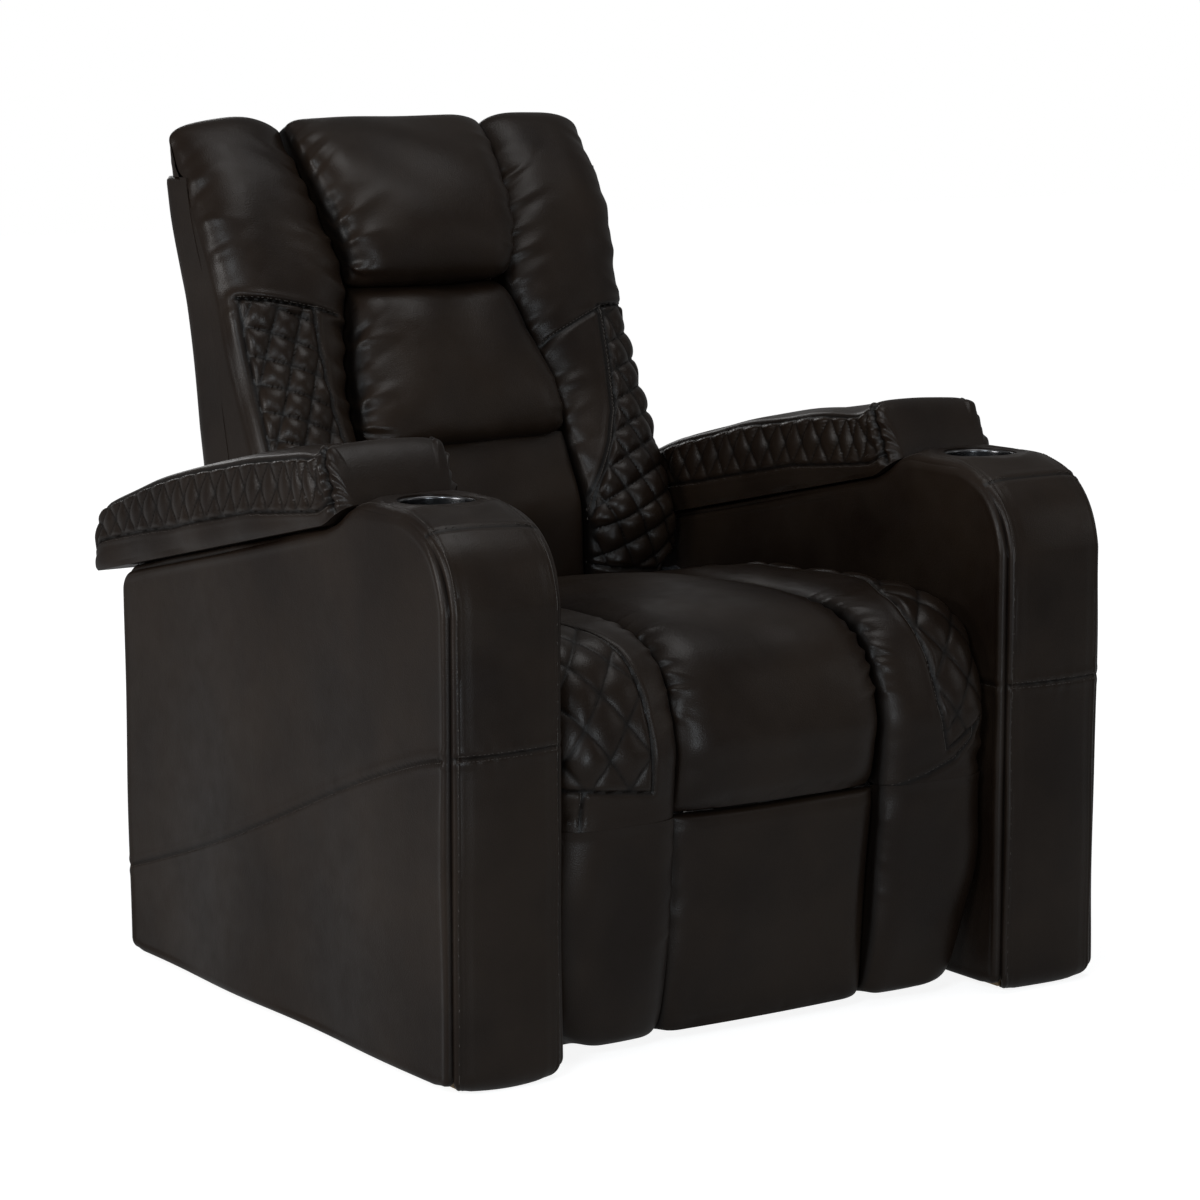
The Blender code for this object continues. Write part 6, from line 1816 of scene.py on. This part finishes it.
        surface = Surface(grid, normal, (1 - share) + 0 * x, distance)
        surface.raise_by(height)
        edge = np.array((-0.5, 0.5))[:, None]
        base_x = self.side * (outer_x - self.pad_width * (0.5 + edge * squeeze))
        base = np.stack((base_x, y + 0 * base_x, foot - self.skin_gap + 0 * base_x), axis=2)
        points, faces = closed_over(surface.grid, base)
        item = self.shop.skin(name, points, faces, relief)
        self.shop.workshop.place(item, "base", Slot.LEATHER, name, 0.7)
        self.pad_stitches(surface.grid, grid_normals(surface.grid, normal), around[:, 1],
                          distance[0], low[0])

    def pad_quilt(self, share: np.ndarray, distance: np.ndarray, low: np.ndarray,
                  on_side: np.ndarray) -> tuple[np.ndarray, np.ndarray]:
        """One row of tall diamonds between two welts, and the seam at the nose.

        Args:
            share: Height on the pad's side, as a share of its rise.
            distance: Distance from the nose.
            low: Share at the lower welt.
            on_side: Where the pad's sides are.

        Returns:
            Heights, and the relief for the finish.
        """
        high, nose_seam = self.pad_high, self.nose_seam
        u = (share - low) / (high - low) - 0.5
        a, b = distance / self.pad_diamond + u, distance / self.pad_diamond - u
        puff = np.abs(np.sin(math.pi * a) * np.sin(math.pi * b)) ** 0.42
        within = on_side & (np.abs(u) < 0.5) & (distance > nose_seam)
        border = (0.5 - np.abs(u)) * (high - low) * self.pad_rise
        ease = np.clip(np.minimum(border, distance - nose_seam) / 0.008, 0.0, 1.0) ** 0.7
        height = np.where(within, self.pad_puff * (puff - PUFF_MIDDLE) * ease, 0.0)
        # Relief for the finish: painted shade in the valleys between the diamonds, lighter flecks
        # of wear and painted sheen on their tops
        relief = np.where(within, 1.8 * (puff - PUFF_MIDDLE) * ease, 0.0)
        for level, deep in ((low, 0.0022), (high, 0.0030)):
            near = np.where(on_side, np.abs(share - level) * self.pad_rise, 1.0)
            near = np.where(distance > nose_seam, near, np.hypot(near, nose_seam - distance))
            height += seam_groove(near, deep, 0.0020, 0.0009)
            # Painted shade in the welt grooves
            relief -= bell(near, 0.0024)
        near = np.where(on_side, np.abs(distance - nose_seam), 1.0)
        height += seam_groove(near, 0.0044, 0.0026, 0.0014)
        # Painted shade in the nose seam
        relief -= bell(near, SEAM_DARK)
        return height, relief

    def pad_stitches(self, grid: np.ndarray, normal: np.ndarray, shares: np.ndarray,
                     distance: np.ndarray, low: np.ndarray) -> None:
        """Sew along both welts of both sides of the pad."""
        run = np.flatnonzero(distance > self.nose_seam + 0.004)[::2]
        for level in (low - self.beside_welt, 0 * low + self.pad_high + self.beside_welt):
            rows = np.interp(level[run], shares[:60], np.arange(60))
            for row in (rows, len(shares) - 1 - rows):
                i = np.clip(np.round(row).astype(int), 0, len(shares) - 1)
                self.shop.thread.sew("base", grid[i, run], normal[i, run])

    def cup(self) -> None:
        """The pressed steel cup: a profile turned round an upright axis."""
        floor = self.height - self.cup_depth
        radius, wall = self.cup_radius - self.cup_seat, self.cup_wall
        lip = self.height + self.cup_seat
        profile = rounded_path(
            ((0.0, floor), (radius, floor), (radius, lip), (self.flange, lip),
             (self.flange, lip + self.cup_lip), (radius - wall, lip + self.cup_lip),
             (radius - wall, floor + wall), (0.0, floor + wall)),
            (0.008, 0.0004, 0.0006, 0.0008, 0.0018, 0.007), 0.0011)
        angle = np.arange(ROUND) * math.tau / ROUND
        x = self.side * (self.inner + self.outer) / 2 + profile[:, None, 0] * np.cos(angle)
        y = self.cup_y + profile[:, None, 0] * np.sin(angle)
        grid = np.stack((x, y, profile[:, None, 1] + 0 * x), axis=2)
        index = np.arange(grid.shape[0] * ROUND).reshape(-1, ROUND)
        index[0], index[-1] = index[0, 0], index[-1, 0]
        points = grid.reshape(-1, 3)
        quads = grid_quads(np.concatenate((index, index[:, :1]), axis=1))
        item = make_mesh(self.word + "_cup", points, [quads[:, ::outward_turn(points, quads)]],
                         self.shop.workshop.hard[Slot.POLISHED])
        tidy_mesh(item)
        self.shop.workshop.place(item, "base", Slot.POLISHED, self.word + "_cup_holder")


def tidy_mesh(item: bpy.types.Object) -> None:
    """Merge doubled points and drop faces that have shrunk to a line."""
    work = bmesh.new()
    work.from_mesh(item.data)
    bmesh.ops.remove_doubles(work, verts=work.verts, dist=MERGE_DISTANCE)
    bmesh.ops.dissolve_degenerate(work, edges=work.edges, dist=SHRUNK_EDGE)
    loose = [vert for vert in work.verts if not vert.link_faces]
    bmesh.ops.delete(work, geom=loose, context="VERTS")
    work.to_mesh(item.data)
    work.free()


def bore(item: bpy.types.Object, centre: tuple[float, float, float], radius: float,
         depth: float) -> None:
    """Cut an upright round hole into a piece, from above a place down to a depth."""
    angle = np.arange(ROUND) * math.tau / ROUND
    ring = np.stack((centre[0] + radius * np.cos(angle), centre[1] + radius * np.sin(angle)), 1)
    ends = (centre[2] - depth, centre[2] + BORE_STICKS_OUT)
    points = np.concatenate([np.insert(ring, 2, level, axis=1) for level in ends])
    here = np.arange(ROUND)
    after = np.roll(here, -1)
    sides = np.stack((here, after, after + ROUND, here + ROUND), axis=1)
    mesh = bpy.data.meshes.new("bore")
    placed = points + np.array((0.0, SHIFT_Y, 0.0))
    mesh.from_pydata(placed.tolist(), [], sides.tolist() + [here[::-1].tolist(),
                                                            (here + ROUND).tolist()])
    cutter = bpy.data.objects.new("bore", mesh)
    bpy.context.scene.collection.objects.link(cutter)
    step = item.modifiers.new("bore", "BOOLEAN")
    step.operation, step.solver, step.object = "DIFFERENCE", "EXACT", cutter
    graph = bpy.context.evaluated_depsgraph_get()
    cut_mesh = bpy.data.meshes.new_from_object(item.evaluated_get(graph))
    item.modifiers.clear()
    item.data = cut_mesh
    cut_mesh.shade_smooth()
    cut_mesh.set_sharp_from_angle(angle=BORED_SHARP)
    bpy.data.objects.remove(cutter, do_unlink=True)


# The studio

COOL = (0.84, 0.93, 1.0)


@dataclass(frozen=True)
class Softbox:
    """A square area lamp and where it looks."""

    name: str
    place: tuple[float, float, float]
    target: tuple[float, float, float]
    size: tuple[float, float]
    power: float
    colour: tuple[float, float, float] = (1.0, 1.0, 1.0)

    def light(self) -> None:
        """Hang the lamp."""
        lamp = bpy.data.lights.new(self.name, "AREA")
        lamp.shape = "RECTANGLE"
        lamp.size, lamp.size_y = self.size
        lamp.energy = self.power
        lamp.color = self.colour
        item = bpy.data.objects.new(self.name, lamp)
        way = np.subtract(self.target, self.place)
        flat = math.hypot(way[0], way[1])
        item.location = self.place
        item.rotation_euler = (math.atan2(flat, -way[2]), 0.0, math.atan2(-way[0], way[1]))
        bpy.context.scene.collection.objects.link(item)


@dataclass
class Studio:
    """Floor, world, lamps and the camera at the photograph's angle."""

    camera_place: tuple[float, float, float] = (-2.5253, -3.8193, 1.1933)
    camera_pitch: float = -9.21
    camera_turn: float = -34.0
    lens: float = 111.32
    sensor: float = 36.0
    ambient: float = 0.02
    mirrored: float = 0.2
    floor_reach: float = 14.0
    floor_roughness: float = 0.9
    floor_colour: tuple[float, float, float] = (0.45, 0.45, 0.45)
    glow_from: tuple[float, float] = (0.7, 1.5)
    glow_strength: tuple[float, float] = (0.88, 1.0)
    softboxes: tuple[Softbox, ...] = (
        Softbox("key_box", (-3.0, -2.5, 2.4), (0.0, 0.0, 0.55), (0.9, 0.9), 46.0, COOL),
        Softbox("front_box", (-0.9, -4.3, 0.8), (0.0, 0.0, 0.5), (1.0, 1.3), 40.0, COOL),
        Softbox("side_box", (-3.7, -0.2, 1.2), (0.0, 0.0, 0.4), (1.3, 1.3), 58.0),
        Softbox("top_box", (0.4, -0.6, 3.4), (0.0, 0.0, 0.6), (1.6, 1.6), 24.0),
        Softbox("right_box", (3.0, -2.4, 1.9), (0.0, 0.0, 0.6), (1.2, 1.6), 5.0),
        Softbox("back_box", (0.8, 4.0, 2.2), (0.0, 0.0, 0.5), (1.6, 1.6), 22.0),
    )

    def build(self) -> None:
        """Set the stage."""
        scene = bpy.context.scene
        scene.view_settings.view_transform = "Standard"
        camera = bpy.data.cameras.new("camera")
        camera.lens, camera.sensor_width = self.lens, self.sensor
        item = bpy.data.objects.new("camera", camera)
        item.location = self.camera_place
        item.rotation_euler = (math.radians(90.0 + self.camera_pitch), 0.0,
                               math.radians(self.camera_turn))
        scene.collection.objects.link(item)
        scene.camera = item
        for box in self.softboxes:
            box.light()
        self.world(scene)
        self.floor()

    def seen_rays(self, tree: bpy.types.NodeTree) -> bpy.types.NodeSocket:
        """How much of the white background each kind of ray sees.

        Args:
            tree: Where the nodes go.

        Returns:
            The socket that carries one for camera and transmission rays, the
            share `mirrored` for glossy rays and nothing for the rest.
        """
        kinds = tree.nodes.new("ShaderNodeLightPath").outputs
        glossy = arithmetic(tree, "MULTIPLY", kinds["Is Glossy Ray"], self.mirrored)
        seen = arithmetic(tree, "MAXIMUM", kinds["Is Camera Ray"], glossy)
        return arithmetic(tree, "MAXIMUM", seen, kinds["Is Transmission Ray"])

    def world(self, scene: bpy.types.Scene) -> None:
        """White to the camera, a share of it to reflections, dim ambient light to the rest."""
        world = bpy.data.worlds.new("studio")
        world.use_nodes = True
        scene.world = world
        tree = world.node_tree
        tree.nodes.clear()
        seen = self.seen_rays(tree)
        blend = tree.nodes.new("ShaderNodeMixShader")
        tree.links.new(seen, blend.inputs["Fac"])
        for socket, strength in ((blend.inputs[1], self.ambient), (blend.inputs[2], 1.0)):
            glow = tree.nodes.new("ShaderNodeBackground")
            glow.inputs["Color"].default_value = (1.0, 1.0, 1.0, 1.0)
            glow.inputs["Strength"].default_value = strength
            tree.links.new(glow.outputs["Background"], socket)
        output = tree.nodes.new("ShaderNodeOutputWorld")
        tree.links.new(blend.outputs["Shader"], output.inputs["Surface"])

    def floor(self) -> None:
        """A pale floor that shows white to the camera and keeps the shadow."""
        paint = Finish("studio_floor", self.floor_roughness, specular=0.0)
        paint.shader.inputs["Base Color"].default_value = (*self.floor_colour, 1.0)
        paint.shader.inputs["Emission Color"].default_value = (1.0, 1.0, 1.0, 1.0)
        away = paint.tree.nodes.new("ShaderNodeVectorMath")
        away.operation = "LENGTH"
        paint.tree.links.new(paint.place, away.inputs[0])
        glow = paint.spread(away.outputs["Value"], *self.glow_from, *self.glow_strength)
        lift = paint.math("MULTIPLY", self.seen_rays(paint.tree), glow)
        paint.tree.links.new(lift, paint.shader.inputs["Emission Strength"])
        corners = np.array(((-1, -1, 0), (1, -1, 0), (1, 1, 0), (-1, 1, 0))) * self.floor_reach
        make_mesh("floor", corners, [np.array(((0, 1, 2, 3),))], paint.material)


def main() -> None:
    """Build the chair's looks in order, then the studio."""
    logging.basicConfig(level=logging.INFO, format="%(message)s")
    shop = Workshop()
    thread = ThreadBasket()
    upholstery = Upholstery(shop, thread)
    for side, word in SIDES:
        Arm(upholstery, side, word).build()
    Seat(upholstery).build()
    Back(upholstery).build()
    Footrest(upholstery).build()
    thread.make(shop)
    shop.dress_frame()
    Studio().build()


if __name__ == "__main__":
    main()
